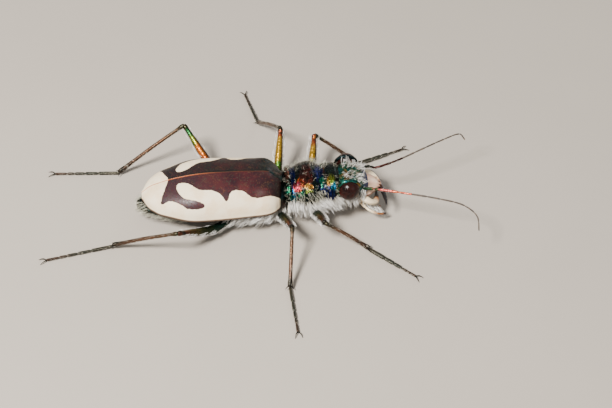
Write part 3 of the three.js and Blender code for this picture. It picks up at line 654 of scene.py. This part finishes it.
def makeWingCase(sideName, side):
    rows, columns = 260, 110
    t = np.linspace(0, 1, rows)
    size = wingCase["front"] - wingCase["back"]
    xs = wingCase["back"] + size * (t - 0.12 * np.sin(2 * math.pi * t))
    degrees = np.linspace(0, wingCase["wrap"], columns)
    outer = sectionPoint(wingCase, xs[:, None], np.radians(degrees))
    # raised shoulder with a shallow dip beside it, raised seam, turned-out rim
    x, y = outer[..., 0], outer[..., 1]
    bumps = sum(height * hill(x, atX, reachX) * hill(y, atY, reachY)
                for atX, reachX, atY, reachY, height in wingCase["bumps"])
    outer[..., 2] += bumps + wingCase["seamLift"][sideName] * hill(y, 0, 0.07)
    outer[..., 1] += 0.06 * hill(degrees, wingCase["rimAngle"], 5.5)
    run = np.cumsum(np.linalg.norm(np.diff(outer, axis=1, prepend=outer[:, :1]), axis=2), axis=1)
    fromRim = run - run[:, [np.argmin(np.abs(degrees - wingCase["rimAngle"]))]]
    fromSeam = run * wingCase["markingSpread"][sideName]
    fromRim, fromSeam = (np.pad(far, ((3, 3), (0, 0)), mode="edge") for far in (fromRim, fromSeam))
    outer = np.concatenate([endRings(outer[0], -1)[::-1], outer, endRings(outer[-1], 1)])
    outer[..., 1] = np.maximum(outer[..., 1], wingCase["seamGap"])
    inward = outer * [0, -1, -1] + [0, 0, 1.9]
    depth = wingCase["thickness"] / np.maximum(np.linalg.norm(inward, axis=-1, keepdims=True), 0.05)
    inner = outer + inward * depth
    inner[..., 1] = np.maximum(inner[..., 1], wingCase["seamGap"])
    inner[0], inner[-1] = outer[0], outer[-1]
    both = np.concatenate([outer, inner[:, ::-1]], axis=1)
    spots = np.stack([outer[..., 0].ravel(), fromSeam.ravel()], axis=1)
    marking = distanceToOutline(spots, softenedOutline(wingCase["darkGround"])).reshape(fromSeam.shape)
    along = (outer[..., 0] - wingCase["back"]) / size
    # the inner skin counts as dark and far from seam and rim
    values = {"marking": bothSkins(marking, 0.5), "seam": bothSkins(fromSeam, 9.0),
              "rim": bothSkins(fromRim, 9.0), "along": bothSkins(along, along[:, ::-1]),
              "farSide": np.full(both[..., 0].size, float(side > 0))}
    faces = turned(gridFaces(len(both), both.shape[1]))
    form = mirrored(both, faces, values, side)
    addPiece("wingCase_" + sideName, form, "wing", "wing_case", "elytron_" + sideName)


for sideName, side in bodySides.items():
    makeWingCase(sideName, side)
print("wing cases made")


scutellum = {"length": 0.8, "halfWidth": 0.46, "front": 0.15, "above": 0.05, "below": 0.3}


def makeScutellum():
    # small shield that tapers backwards and lies on the wing cases
    rows, columns = 26, 30
    s = scutellum
    points = []
    for r in range(rows):
        t = r / (rows - 1)
        x = s["front"] - t * (s["front"] + s["length"])
        half = s["halfWidth"] * (1 - max(0, (t - 0.25) / 0.75)) ** 0.8 + 0.012
        for turn in turns(columns):
            y = half * math.cos(turn)
            skin = sectionPoint(wingCase, np.array(min(x, 0.0)), np.arcsin(min(0.99, abs(y) / 2.4)))[2]
            lift = math.sin(turn) * (s["above"] if math.sin(turn) > 0 else s["below"])
            points.append((x, y, skin - 0.015 - 0.072 * abs(y) + lift))
    form = {"points": np.array(points), "faces": ringFaces(rows, columns), "values": {}}
    addPiece("scutellumPlate", form, "under", "body_metal", "scutellum")


thorax = {
    "back": -3.8, "front": 0.5, "squareness": 2.3, "middle": level(1.98),
    "width": through([(-3.8, 1.88), (-2, 1.98), (-0.7, 1.9), (0.05, 1.72), (0.5, 1.3)]),
    "top": through([(-3.8, 1.15), (-1.5, 1.0), (-0.8, 0.74), (0, 0.95), (0.5, 0.8)]),
    "bottom": through([(-3.8, 1.2), (-2, 1.3), (0, 1.1), (0.5, 0.85)]),
}
abdomen = {
    "back": -10.45, "front": -3.75, "squareness": 2.2, "rings": 6,
    "middle": through([(-10.45, 1.25), (-9.5, 1.32), (-8.8, 1.5), (-7, 1.88), (-3.75, 1.95)]),
    "width": through([(-10.45, 0.3), (-10.1, 0.66), (-9.5, 1.0), (-9, 1.25), (-8, 1.72), (-6, 2.15), (-4, 2.05),
                      (-3.75, 1.9)]),
    "top": through([(-10.45, 0.2), (-9.6, 0.32), (-9, 0.4), (-8, 0.72), (-7, 1.0), (-3.75, 1.28)]),
    "bottom": through([(-10.45, 0.24), (-10, 0.38), (-9, 0.7), (-7, 1.08), (-3.75, 1.15)]),
}
pronotum = {
    "back": 0.3, "front": 4.26, "squareness": 2.12, "middle": through([(0.3, 2.3), (4.26, 2.56)]),
    "width": through([(0.3, 1.5), (0.42, 1.66), (0.66, 1.71), (0.86, 1.58), (1.06, 1.66), (1.6, 1.88), (2.05, 1.96),
                      (2.5, 1.84), (2.8, 1.64), (2.95, 1.56), (3.15, 1.63), (3.9, 1.64), (4.26, 1.42)]),
    "top": through([(0.3, 1.02), (0.44, 1.2), (0.68, 1.23), (0.88, 1.01), (1.1, 1.16), (1.6, 1.34), (2.05, 1.38),
                    (2.5, 1.26), (2.78, 1.08), (2.92, 0.98), (3.12, 1.12), (3.9, 1.14), (4.26, 0.96)]),
    "bottom": through([(0.3, 0.9), (1.9, 1.35), (4.26, 0.95)]),
    # patches of structural colour, partly painted highlights and mostly brighter on the near side: [x, y, reach along
    # x, reach along y, strength]
    "glows": {
        "blue": [(0.92, 0, 0.22, 3, 1.1), (2.85, 0, 0.42, 1.3, 1.15), (3.6, -1.5, 0.4, 0.3, 1.1)],
        "cyan": [(1.0, -1.38, 0.16, 0.42, 1.1), (1.05, 1.05, 0.16, 0.5, 0.8), (3.9, -1.25, 0.35, 0.35, 1.0)],
        "turquoise": [(3.0, -0.75, 0.24, 0.5, 1.15), (3.0, 0.9, 0.24, 0.5, 0.9), (0.6, -1.3, 0.3, 0.4, 1.0),
                      (1.5, -1.62, 0.5, 0.2, 0.9)],
        "lime": [(3.65, -0.68, 0.33, 0.6, 1.1), (3.6, 0.8, 0.22, 0.4, 0.6), (2.0, -1.62, 0.5, 0.18, 0.9)],
        "brown": [(1.9, -0.6, 0.6, 0.65, 1.1), (1.9, 0.5, 0.55, 0.4, 0.8)],
        "gold": [(1.95, -1.32, 0.5, 0.24, 1.05), (3.45, -0.8, 0.16, 0.6, 0.9)],
        "orange": [(1.34, -1.02, 0.42, 0.5, 1.15)],
        "pink": [(1.24, -1.08, 0.28, 0.36, 1.2)],
        "copper": [(0.5, 0.2, 0.2, 1.1, 1.0), (3.2, 0.1, 0.1, 1.2, 0.9)]},
}
head = {
    "back": 4.2, "front": 6.3, "squareness": 2.2, "middle": through([(4.2, 2.66), (5.4, 2.75), (6.3, 2.5)]),
    "width": through([(4.2, 1.12), (4.5, 1.38), (5.2, 1.42), (5.7, 1.34), (6.05, 1.2), (6.3, 1.0)]),
    "top": through([(4.2, 0.78), (4.7, 0.95), (5.3, 0.9), (5.8, 0.66), (6.1, 0.4), (6.3, 0.2)]),
    "bottom": through([(4.2, 0.7), (5.2, 0.95), (6, 0.8), (6.3, 0.5)]),
}


def abdomenRings(grid, x, angle):
    # each ring of the belly overlaps the next: a small step and a groove
    share = ((abdomen["front"] - x) / (abdomen["front"] - abdomen["back"]) * abdomen["rings"]) % 1
    depth = 0.07 * share - 0.05 * hill(share, 0.98, 0.05)
    out = grid - np.stack([x, 0 * x, abdomen["middle"](x)], axis=-1)
    return out / np.maximum(np.linalg.norm(out, axis=-1, keepdims=True), 0.1) * depth[..., None]


def onTop(angle, lift):
    return np.stack([0 * lift, 0 * lift, lift * (np.cos(angle) > 0)], axis=-1)


def pronotumFurrows(grid, x, angle):
    # middle furrow on top of the disc, and fine uneven cross folds
    y = grid[..., 1]
    folds = 0.014 * np.sin(x * 23 + 2.2 * np.sin(y * 2.1) + np.sin(x * 7.0))
    disc = np.exp(-((x - 1.95) / 0.9) ** 4)
    return onTop(angle, folds * disc - 0.05 * hill(y, 0, 0.12) * hill(x, 1.95, 0.8))


def headDents(grid, x, angle):
    # hollow brow between the eyes, raised ridge over each eye
    y = grid[..., 1]
    ridge = 0.16 * hill(np.abs(y), 1.08, 0.2) * hill(x, 5.0, 0.6)
    return onTop(angle, ridge - 0.16 * hill(y, 0, 0.6) * hill(x, 5.2, 0.7))


def makeBody():
    parts = (("thoraxBody", thorax, 90, 96, None, "under", "underside", "thorax"),
             ("abdomenBody", abdomen, 200, 110, abdomenRings, "belly", "underside", "abdomen"),
             ("pronotumShield", pronotum, 200, 160, pronotumFurrows, "shield", "body_metal", "prothorax"),
             ("headCapsule", head, 130, 130, headDents, "head", "body_metal", "head"))
    for name, shape, rows, columns, dent, finish, slotName, node in parts:
        body = closedBody(shape, rows, columns, dent)
        bodyX, bodyY = body["points"][:, 0], body["points"][:, 1]
        for tone, spots in shape.get("glows", {}).items():
            body["values"][tone + "Glow"] = sum(strength * hill(bodyX, x, reachX) * hill(bodyY, y, reachY)
                                                for x, y, reachX, reachY, strength in spots)
        addPiece(name, body, finish, slotName, node)


makeScutellum()
makeBody()
print("body made")


eyes = {"centre": (4.93, 1.42, 3.0), "radii": (0.79, 0.66, 0.8), "rimRadius": 0.12, "rimSize": 1.02,
        "rimShade": {"left": 2.2, "right": 0.5}}  # rimShade: the far rim is painted darker, as painted shade


def makeEyes():
    centre, radii, rim = np.array(eyes["centre"]), np.array(eyes["radii"]), eyes["rimRadius"]
    rows, columns, ringCount, around = 60, 80, 72, 12
    # the pole looks sideways, and the eye is a little flatter behind
    down, turn = np.meshgrid(np.linspace(0.02, math.pi - 0.02, rows), turns(columns), indexing="ij")
    ball = np.stack([np.sin(down) * np.cos(turn), np.cos(down), np.sin(down) * np.sin(turn)], axis=-1)
    ball = centre + ball * radii * (1 - 0.04 * np.clip(-ball[..., :1], 0, 1))
    # the green ring of the socket
    a, b = np.meshgrid(turns(ringCount), turns(around), indexing="ij")
    ring = centre + np.stack([np.cos(a) * (radii[0] * eyes["rimSize"] + rim * np.cos(b)),
                              -0.14 - 0.06 * np.cos(a) + 1.3 * rim * np.sin(b),
                              np.sin(a) * (radii[2] * eyes["rimSize"] + rim * np.cos(b))], axis=-1)
    last = (ringCount - 1) * around
    closing = [(last + c, last + (c + 1) % around, (c + 1) % around, c) for c in range(around)]
    for sideName, side in bodySides.items():
        addPiece("eyeball_" + sideName, mirrored(ball, turned(ringFaces(rows, columns)), {}, side),
                 "eye", "eye", "eye_" + sideName)
        values = {"along": np.full(a.size, 0.4), "fromCrown": np.full(a.size, eyes["rimShade"][sideName])}
        addPiece("eyeRim_" + sideName, mirrored(ring, gridFaces(ringCount, around) + closing, values, side),
                 "head", "body_metal")


makeEyes()
print("eyes made")


mouth = {
    "lipBack": 6.28, "lipRoot": 0.12, "lipHalfWidth": 1.24, "lipHeight": 2.5,
    "jawPath": {
        "left": [(5.9, 1.0, 1.85), (6.56, 1.45, 1.86), (7.1, 0.9, 1.84), (7.47, -0.22, 1.8), (7.64, -1.2, 1.68),
                 (7.66, -1.75, 1.6)],
        "right": [(5.9, -1.0, 1.9), (6.4, -1.42, 1.78), (6.88, -1.2, 1.48), (7.08, -0.45, 1.3), (7.1, 0.4, 1.24)]},
    # teeth: [share of the jaw, length], and the far jaw leaves out the first
    "teeth": ((0.42, 0.42), (0.56, 0.36), (0.7, 0.26)),
    # palps: shade says which stretch of the jaw's colours they show
    "outerPalp": {"path": [(5.75, 0.95, 1.35), (6.4, 1.7, 1.15), (7.1, 1.92, 0.95), (7.65, 1.68, 0.72)],
                  "radii": (0.11, 0.085), "joints": (1, 1.4, 1.2), "pinch": 0.4, "shade": (0.25, 0.4),
                  "node": "maxillary_palp_", "slot": "jaw"},
    "innerPalp": {"path": [(5.85, 0.4, 1.3), (6.4, 0.66, 1.0), (6.95, 0.86, 0.8), (7.3, 0.78, 0.55)],
                  "radii": (0.17, 0.1), "joints": (1, 2, 1), "pinch": 0.35, "shade": (0.1, 0.5),
                  "node": "labial_palp_", "slot": "ivory"},
    "palpHairs": 180,
}


def lipReach(y):
    # front edge of the lip: rounded at the corners, three short teeth in the middle
    base = 0.9 * (1 - np.clip(np.abs(y) / mouth["lipHalfWidth"], 0, 1) ** 2.6)
    return base + 0.28 * hill(y, 0, 0.1) + 0.18 * hill(np.abs(y), 0.27, 0.085)


def makeLip():
    rows, columns = 50, 90
    count = rows * columns
    half, root = mouth["lipHalfWidth"], mouth["lipRoot"]
    t, y = np.meshgrid(np.linspace(0, 1, rows), np.linspace(-half, half, columns), indexing="ij")
    reach = lipReach(y) + root
    ahead = t * reach - root
    z = mouth["lipHeight"] - 0.24 * ahead - 0.12 * ahead ** 2 - 0.24 * y ** 2
    edge = np.minimum((1 - t) * reach, half - np.abs(y))
    puff = 0.09 * np.sqrt(np.clip(edge / 0.22, 0, 1))
    skins = [np.stack([mouth["lipBack"] + ahead, y, height], axis=-1).reshape(-1, 3)
             for height in (z + puff, z - 0.04 - puff * 0.8)]
    spot = np.arange(count).reshape(rows, columns)
    rim = np.concatenate([spot[0], spot[1:, -1], spot[-1, -2::-1], spot[-2:0:-1, 0]]).tolist()
    faces = turned(gridFaces(rows, columns, closed=False)) + gridFaces(rows, columns, closed=False, first=count)
    faces += [(b + count, a + count, a, b) for a, b in zip(rim, rim[1:] + rim[:1])]
    values = {"edge": np.tile(edge.ravel(), 2)}
    addPiece("upperLip", {"points": np.concatenate(skins), "faces": faces, "values": values},
             "lip", "ivory", "labrum")


def jawRadius(share):
    return 0.05 + 0.34 * (1 - share) ** 0.85 * (1 - 0.15 * np.sin(6 * share))


def makeJaws():
    for sideName, side in bodySides.items():
        path = mouth["jawPath"][sideName]
        jaw = tube(path, jawRadius, around=28, flat=0.72)
        # black outer edge on the far jaw, thin brown one on the near jaw
        way = np.gradient(jaw["path"], axis=0)
        outerness = facing(jaw, np.stack([-way[:, 1], way[:, 0], 0 * way[:, 0]], axis=1) * side)
        values = jaw["values"]
        if side > 0:
            values["tone"] = np.clip((outerness - 0.3) / 0.4, 0, 1)
            values["along"] = 0.12 + 0.88 * values["along"]
        else:
            values["tone"] = 0.6 * np.clip((outerness - 0.85) / 0.1, 0, 1)
        parts = [jaw]
        fine = smoothPath(path, 60)
        for share, size in mouth["teeth"][side > 0:]:
            spot = int(share * 59)
            way = fine[spot + 1] - fine[spot]
            inward = np.array([way[1], -way[0], 0.0]) * side - way * 0.4
            parts.append(spike(fine[spot], fine[spot] + unit(inward) * size, 0.13 * (1.1 - share) + 0.05))
        addPiece("jaw_" + sideName, joinMeshes(parts), "jaw", "jaw", "mandible_" + sideName)


def jointEnds(joints):
    return np.cumsum(np.array(joints, float)) / sum(joints)


def jointed(base, tip, joints, pinch, sharpness):
    # radius of a jointed limb: it swells towards the end of each joint and narrows between joints
    ends = jointEnds(joints)

    def at(share):
        radius = base + (tip - base) * share
        for start, end in zip([0, *ends], ends):
            inside = (share >= start) & (share <= end)
            radius = np.where(inside, radius * (0.86 + 0.2 * (share - start) / (end - start)), radius)
        for end in ends[:-1]:
            radius = radius * (1 - pinch * hill(share, end, sharpness))
        return radius * np.sqrt(np.clip((1.0 - share) / 0.02, 0.15, 1))
    return at


def makePalps():
    for sideName, side in bodySides.items():
        for key in ("outerPalp", "innerPalp"):
            palp = mouth[key]
            radiusAt = jointed(*palp["radii"], palp["joints"], palp["pinch"], 0.02)
            limb = tube(np.array(palp["path"]) * [1, side, 1], radiusAt, around=16)
            low, span = palp["shade"]
            limb["values"]["along"] = low + span * limb["values"]["along"]
            addPiece(key + "_" + sideName, limb, "jaw", palp["slot"], palp["node"] + sideName)
        # long white hairs on the inner palp, outwards and forwards
        roots, out, along, places = limbRoots(limb, mouth["palpHairs"], (0.08, 0.85), (0, 60, 120, 180), 14)
        outward, lie = out * 0.2 + [0.3, side, 0.1], along * 0.2 + [0.5, side * 1.1, -0.05]
        lengths = random.uniform(0.9, 1.25, len(roots))
        bristles("palpBristles_" + sideName, roots, outward, lie, lengths, 0.02, "bristle", places, 4, 0.6)


makeLip()
makeJaws()
makePalps()
print("mouth made")


feelers = {
    "right": [(5.75, -1.0, 2.72), (6.5, -1.38, 3.0), (7.35, -1.78, 3.2), (9.21, -2.62, 3.5), (11.28, -3.38, 3.6),
              (12.9, -3.8, 3.3), (13.83, -4.58, 2.9), (13.86, -5.69, 2.5)],
    "left": [(5.75, 0.98, 2.72), (6.5, 0.92, 3.05), (7.12, 0.6, 3.2), (8.71, 0.95, 3.5), (10.38, 1.58, 3.8),
             (12.08, 2.31, 4.0), (13.44, 3.08, 3.8), (13.87, 2.83, 3.4)],
    # baseTone: how dark each feeler base is; the far one is darkened as painted shade
    "baseShare": 0.4, "baseTone": {"right": 0.0, "left": 0.93}, "baseRadii": (0.125, 0.075), "tipRadii": (0.072, 0.05),
    "baseJoints": (1.3, 0.45, 1.7, 1.2), "tipJoints": (1.3, 1.15, 1.1, 1.0, 0.95, 0.9, 0.85),
}


def makeFeelers():
    for sideName in bodySides:
        path = smoothPath(feelers[sideName], 200)
        cut = int(feelers["baseShare"] * 199)
        radiusAt = jointed(*feelers["baseRadii"], feelers["baseJoints"], 0.38, 0.014)
        base = tube([*path[:cut + 1:6], path[cut]], radiusAt, around=18, rows=150, tone=feelers["baseTone"][sideName])
        addPiece("feelerBase_" + sideName, base, "feelerBase", "leg", "antenna_" + sideName + "_base")
        radiusAt = jointed(*feelers["tipRadii"], feelers["tipJoints"], 0.4, 0.01)
        tip = tube([path[cut - 1], *path[cut + 4::8], path[-1]], radiusAt, around=16, rows=240)
        fromJoint = np.abs(tip["values"]["along"][:, None] - jointEnds(feelers["tipJoints"])[:-1])
        tip["values"]["joint"] = np.min(fromJoint, axis=1) / 0.02
        addPiece("feelerTip_" + sideName, tip, "feeler", "antenna", "antenna_" + sideName + "_tip")
        roots, out, along, places = limbRoots(base, 70, (0.05, 0.98), range(0, 360, 60), 20)
        lengths = random.uniform(0.14, 0.32, len(roots))
        bristles("feelerBristles_" + sideName, roots, out, along, lengths, 0.007, "bristle", places)


makeFeelers()
print("feelers made")


# coxa and hip of the left side, then for each side knee, ankle, toe, and how far the thigh bows up
legs = {
    "front": {"coxa": (2.5, 0.75, 1.6), "hip": (2.35, 1.35, 0.95), "broad": 1.45,
              "right": ((3.0, -3.93, 2.3), (6.13, -4.72, 0.3), (9.23, -7.55), 0.15),
              "left": ((2.86, 4.7, 2.9), (6.04, 4.16, 0.3), (9.6, 5.6), 0.15)},
    "middle": {"coxa": (-0.2, 0.75, 1.3), "hip": (-0.15, 1.35, 0.8), "broad": 1.0,
               "right": ((0.62, -4.61, 2.7), (0.21, -8.13, 0.3), (0.5, -12.26), 0.15),
               "left": ((0.39, 5.3, 3.2), (-1.14, 9.21, 0.3), (-1.98, 12.6), 0.15)},
    "hind": {"coxa": (-3.0, 0.75, 1.25), "hip": (-3.5, 1.65, 0.72), "broad": 1.0,
             "right": ((-7.52, -4.54, 2.6), (-12.28, -3.13, 0.3), (-17.08, -4.14), -0.42),
             "left": ((-6.77, 5.69, 3.6), (-11.8, 4.43, 0.3), (-16.6, 4.75), -0.5)},
}
legSizes = {
    "coxa": through([(0, 0.5), (0.4, 0.62), (0.8, 0.42), (1, 0.3)]),
    "thigh": through([(0, 0.24), (0.05, 0.3), (0.09, 0.2), (0.14, 0.27), (0.35, 0.3), (0.7, 0.25), (0.92, 0.17),
                      (0.97, 0.19), (1, 0.15)]),
    "shin": through([(0, 0.13), (0.04, 0.17), (0.1, 0.13), (0.5, 0.14), (0.9, 0.165), (0.97, 0.19), (1, 0.14)]),
    "foot": 0.115, "footJoints": (1.7, 1.05, 0.85, 0.6, 1.0), "footHeight": 0.2, "shinBow": 0.08,
    # stripe: the way the painted highlight on each thigh faces; besideStripe: how dark the painted shade beside it is
    "stripe": (-0.3, -0.6, 0.75), "besideStripe": {"left": 0.92, "right": 0.55},
    "claw": ((-0.05, 0, 0), (0.2, 0.16, 0.06), (0.5, 0.27, -0.08)),  # ahead of the toe, to the side, up
}
# hairs of each part, and then what one pair of legs has of its own
legCoat = {
    "coxa": {"count": 240, "share": (0.3, 0.98), "angles": (-90, -20, 200, 40, 140), "spread": 30,
             "length": (0.6, 1.1), "stand": 0.3, "lean": 0.7, "drop": (-0.35, 0.3, -0.45), "soft": True,
             "hind": {"count": 90}},
    "thigh": {"count": 300, "share": (0.06, 0.9), "angles": (0, 180, -60, -120), "spread": 16,
              "length": (0.4, 0.72), "stand": 0.55, "lean": 0.55, "drop": (0, 0, 0), "soft": True,
              "hind": {"count": 240}, "front": {"length": (0.4, 0.9)}},
    "shin": {"count": 110, "share": (0.05, 0.95), "angles": (0, 180, 60, -60, 120, -120), "spread": 12,
             "length": (0.16, 0.3), "stand": 0.75, "lean": 0.55, "drop": (0, 0, 0), "soft": False},
    "foot": {"count": 90, "share": (0.03, 0.97), "angles": (0, 180, 30, 150), "spread": 12,
             "length": (0.1, 0.18), "stand": 0.7, "lean": 0.6, "drop": (0, 0, 0), "soft": False},
}


def makeThigh(pair, sideName, hip, knee, bow):
    middle = hip + (knee - hip) * 0.45 + [0, 0, bow]
    thigh = tube([hip, middle, knee], legSizes["thigh"], around=26, rows=110, flat=1.1)
    # painted highlight: a bright stripe along the side that faces up, back and towards the near side, towards the key
    # lamp; beside it the thigh is darkened as painted shade, more on the far legs
    stripe = np.clip((facing(thigh, legSizes["stripe"]) - 0.52) / 0.28, 0, 1)
    thigh["values"]["tone"] = legSizes["besideStripe"][sideName] * (1 - stripe)
    look = "nearThigh" if sideName == "right" else "hindThigh" if pair == "hind" else "thigh"
    addPiece("thigh_" + pair + "_" + sideName, thigh, look, "leg", "femur_" + pair + "_" + sideName)
    return thigh


def makeShin(name, knee, ankle):
    # slightly bowed, with two end spurs
    shin = tube([knee, (knee + ankle) / 2 + [0, 0, legSizes["shinBow"]], ankle], legSizes["shin"], rows=110)
    way = unit(ankle - knee)
    across = unit(np.cross([0, 0, 1.0], way))
    parts = [shin]
    for side in (1, -1):
        tip = ankle + way * 0.2 + across * side * 0.34
        tip[2] = max(tip[2], 0.07)
        parts.append(spike(ankle - way * 0.12 + across * side * 0.08, tip, 0.05))
    addPiece("shin_" + name, joinMeshes(parts), "shin", "leg", "tibia_" + name)
    return shin


def makeFoot(name, ankle, toe, broad):
    # five joints flat on the floor and two curved claws; the first three joints may be broad
    radius = legSizes["foot"]
    toe = np.array([*toe, radius])
    start = np.array([ankle[0], ankle[1], legSizes["footHeight"]])
    plain = jointed(radius * 1.1, radius * 0.85, legSizes["footJoints"], 0.4, 0.014)

    def widened(share):
        padded = 1 / (1 + np.exp((share - 0.66) / 0.015)) * np.clip(share / 0.08, 0, 1)
        return plain(share) * (1 + (broad - 1) * padded)

    path = [start, start * 0.85 + toe * 0.15, start * 0.5 + toe * 0.5, toe]
    foot = tube(path, widened, around=18, rows=150, flat=1.0 / broad ** 0.7)
    foot["points"][:, 2] = np.maximum(foot["points"][:, 2], 0.0)
    stride = unit((toe - start) * [1, 1, 0])
    turnedOut = np.array([-stride[1], stride[0], 0])
    parts = [foot]
    for side in (1, -1):
        claw = [toe + stride * ahead + turnedOut * side * out + [0, 0, up] for ahead, out, up in legSizes["claw"]]
        parts.append(tube(claw, lambda share: 0.045 * (1 - share) ** 0.7 + 0.008, around=10, rows=16, tone=0.6))
    addPiece("foot_" + name, joinMeshes(parts), "foot", "leg", "tarsus_" + name)
    return foot


def legBristles(part, limb, pair, sideName):
    look = {**legCoat[part], **legCoat[part].get(pair, {})}
    roots, out, along, places = limbRoots(limb, look["count"], look["share"], look["angles"], look["spread"])
    lengths = random.uniform(*look["length"], len(roots))
    if part == "foot":
        roots[:, 2] = np.maximum(roots[:, 2], 0.04)
        out[:, 2] = np.maximum(out[:, 2], 0.0)
    lie = along * look["lean"] + np.array(look["drop"]) * [1, bodySides[sideName], 1]
    thickness, finish, tuft = (0.017, "bristle", 7) if look["soft"] else (0.012, "spine", 0)
    bristles(part + "Bristles_" + pair + "_" + sideName, roots, out * look["stand"], lie, lengths,
             thickness, finish, places, tuft, 0.4)


def makeLeg(pair, sideName):
    name = pair + "_" + sideName
    root, hip = (np.array(legs[pair][key]) * [1, bodySides[sideName], 1] for key in ("coxa", "hip"))
    knee, ankle, toe, bow = legs[pair][sideName]
    knee, ankle = np.array(knee), np.array(ankle)
    coxa = tube([root, hip * 0.5 + root * 0.5, hip], legSizes["coxa"], around=28, rows=40)
    addPiece("coxa_piece_" + name, coxa, "under", "underside", "coxa_" + name)
    limbs = {"coxa": coxa, "thigh": makeThigh(pair, sideName, hip, knee, bow),
             "shin": makeShin(name, knee, ankle), "foot": makeFoot(name, ankle, toe, legs[pair]["broad"])}
    for part, limb in limbs.items():
        legBristles(part, limb, pair, sideName)


for pair in legs:
    for sideName in ("right", "left"):
        makeLeg(pair, sideName)
print("legs made")


# each patch of hair: stretch along x, degrees from the crown, hairs a side, length, lie, stray, stand
coats = {
    "pronotumFringe": ("long", pronotum, [
        ((2.0, 4.15), (86, 138), 460, 1.1, (0.75, 0.4, -0.45), 0.22, 1.0),
        ((0.5, 2.1), (84, 140), 360, 0.95, (0.15, 0.5, -0.8), 0.22, 1.0)]),
    "pronotumBristles": ("fine", pronotum, [
        ((0.9, 3.2), (56, 88), 150, 0.6, (0.3, 0.9, 0.0), 0.22, 1.0),
        ((0.9, 3.3), (4, 60), 45, 0.34, (0.3, 0.6, 0.4), 0.4, 1.0),
        ((0.32, 0.75), (6, 95), 60, 0.34, (-0.4, 0.5, 0.4), 0.4, 1.0),
        ((3.0, 3.5), (10, 95), 50, 0.38, (0.5, 0.4, 0.3), 0.4, 1.0),
        ((3.9, 4.25), (15, 95), 36, 0.32, (0.8, 0.3, 0.3), 0.4, 1.0)]),
    "cheekBeard": ("long", head, [
        ((4.3, 6.0), (98, 150), 270, 1.0, (0.2, 0.3, -1.0), 0.22, 1.0)]),
    "browBristles": ("brow", head, [
        ((4.5, 6.0), (5, 52), 105, 0.66, (0.8, 0.3, 0.15), 0.6, 0.8),
        ((5.7, 6.1), (60, 100), 40, 0.5, (0.3, 0.5, -0.8), 0.22, 1.0)]),
    "thoraxFringe": ("long", thorax, [
        ((-3.75, -0.4), (90, 140), 520, 1.25, (-0.85, 0.6, -0.25), 0.22, 1.0),
        ((-0.4, 0.3), (98, 145), 200, 0.85, (-0.2, 0.5, -0.9), 0.22, 1.0)]),
    "abdomenBristles": ("fine", abdomen, [
        ((-9.6, -3.9), (92, 126), 420, 0.55, (-1, 0.4, -0.15), 0.22, 1.0),
        ((-10.4, -9.6), (10, 150), 220, 0.5, (-1, 0.1, -0.2), 0.22, 1.0)]),
}
for name, (look, shape, patches) in coats.items():
    coatOnBody(name, coatLooks[look], shape, patches)
print("coat made")


view = {"azimuth": -4.0, "elevation": 45.0, "pixelsPerMm": 13.8, "frameWidth": 612, "lens": 120.0, "sensor": 36.0,
        "target": (1.797, -1.620, 2.0)}
studio = {
    "floor": (170, 162, 152), "floorPatch": (178, 170, 160), "floorReach": 4.0,
    "room": (1.0, 0.985, 0.96, 1), "roomStrength": 0.42, "lampTarget": (0.002, 0, 0.002),
    "lamps": {  # place, size, watts, tint
        "keyLamp": ((-0.068, -0.07, 0.135), 0.04, 0.74, (1.0, 0.96, 0.9)),
        "fillLamp": ((0.12, -0.12, 0.10), 0.12, 0.04, (0.93, 0.96, 1.0)),
        "rimLamp": ((0.10, 0.14, 0.08), 0.06, 0.05, (1, 1, 1))},
}


def placed(name, data):
    thing = bpy.data.objects.new(name, data)
    bpy.context.scene.collection.objects.link(thing)
    return thing


def makeFloor():
    mesh = bpy.data.meshes.new("studioFloor")
    r = studio["floorReach"]
    mesh.from_pydata([(-r, -r, 0), (r, -r, 0), (r, r, 0), (-r, r, 0)], [], [(0, 1, 2, 3)])
    f = Finish("floorPlain", {"plain": studio["floor"], "patch": studio["floorPatch"]}, roughness=0.8)
    mesh.materials.append(f.finished(f.patches("plain", "patch", f.noise(0.08, 3), 0.3, 0.7, 0.0, 0.25)))
    floor = placed("studioFloor", mesh)


def makeStudio():
    world = bpy.data.worlds.new("softRoom")
    world.use_nodes = True
    room = world.node_tree.nodes["Background"]
    room.inputs["Color"].default_value = studio["room"]
    room.inputs["Strength"].default_value = studio["roomStrength"]
    bpy.context.scene.world = world
    for name, (place, size, watts, tint) in studio["lamps"].items():
        data = bpy.data.lights.new(name, "AREA")
        data.shape = "DISK"
        data.size = size
        data.energy = watts
        data.color = tint
        lamp = placed(name, data)
        lamp.location = place
        beam = Vector(studio["lampTarget"]) - Vector(place)
        lamp.rotation_euler = beam.to_track_quat("-Z", "Y").to_euler()


def makeCamera():
    a, e = math.radians(view["azimuth"]), math.radians(view["elevation"])
    back = Vector((math.sin(a) * math.cos(e), -math.cos(a) * math.cos(e), math.sin(e)))
    distance = view["lens"] / view["sensor"] * view["frameWidth"] / view["pixelsPerMm"] * 0.001
    data = bpy.data.cameras.new("photoCamera")
    data.lens = view["lens"]
    data.sensor_width = view["sensor"]
    data.clip_start = 0.005
    data.clip_end = 10
    camera = placed("photoCamera", data)
    camera.location = Vector(view["target"]) * 0.001 + Vector(toFrame) + back * distance
    camera.rotation_euler = (-back).to_track_quat("-Z", "Y").to_euler()
    bpy.context.scene.camera = camera


makeFloor()
makeStudio()
makeCamera()
print("scene ready")
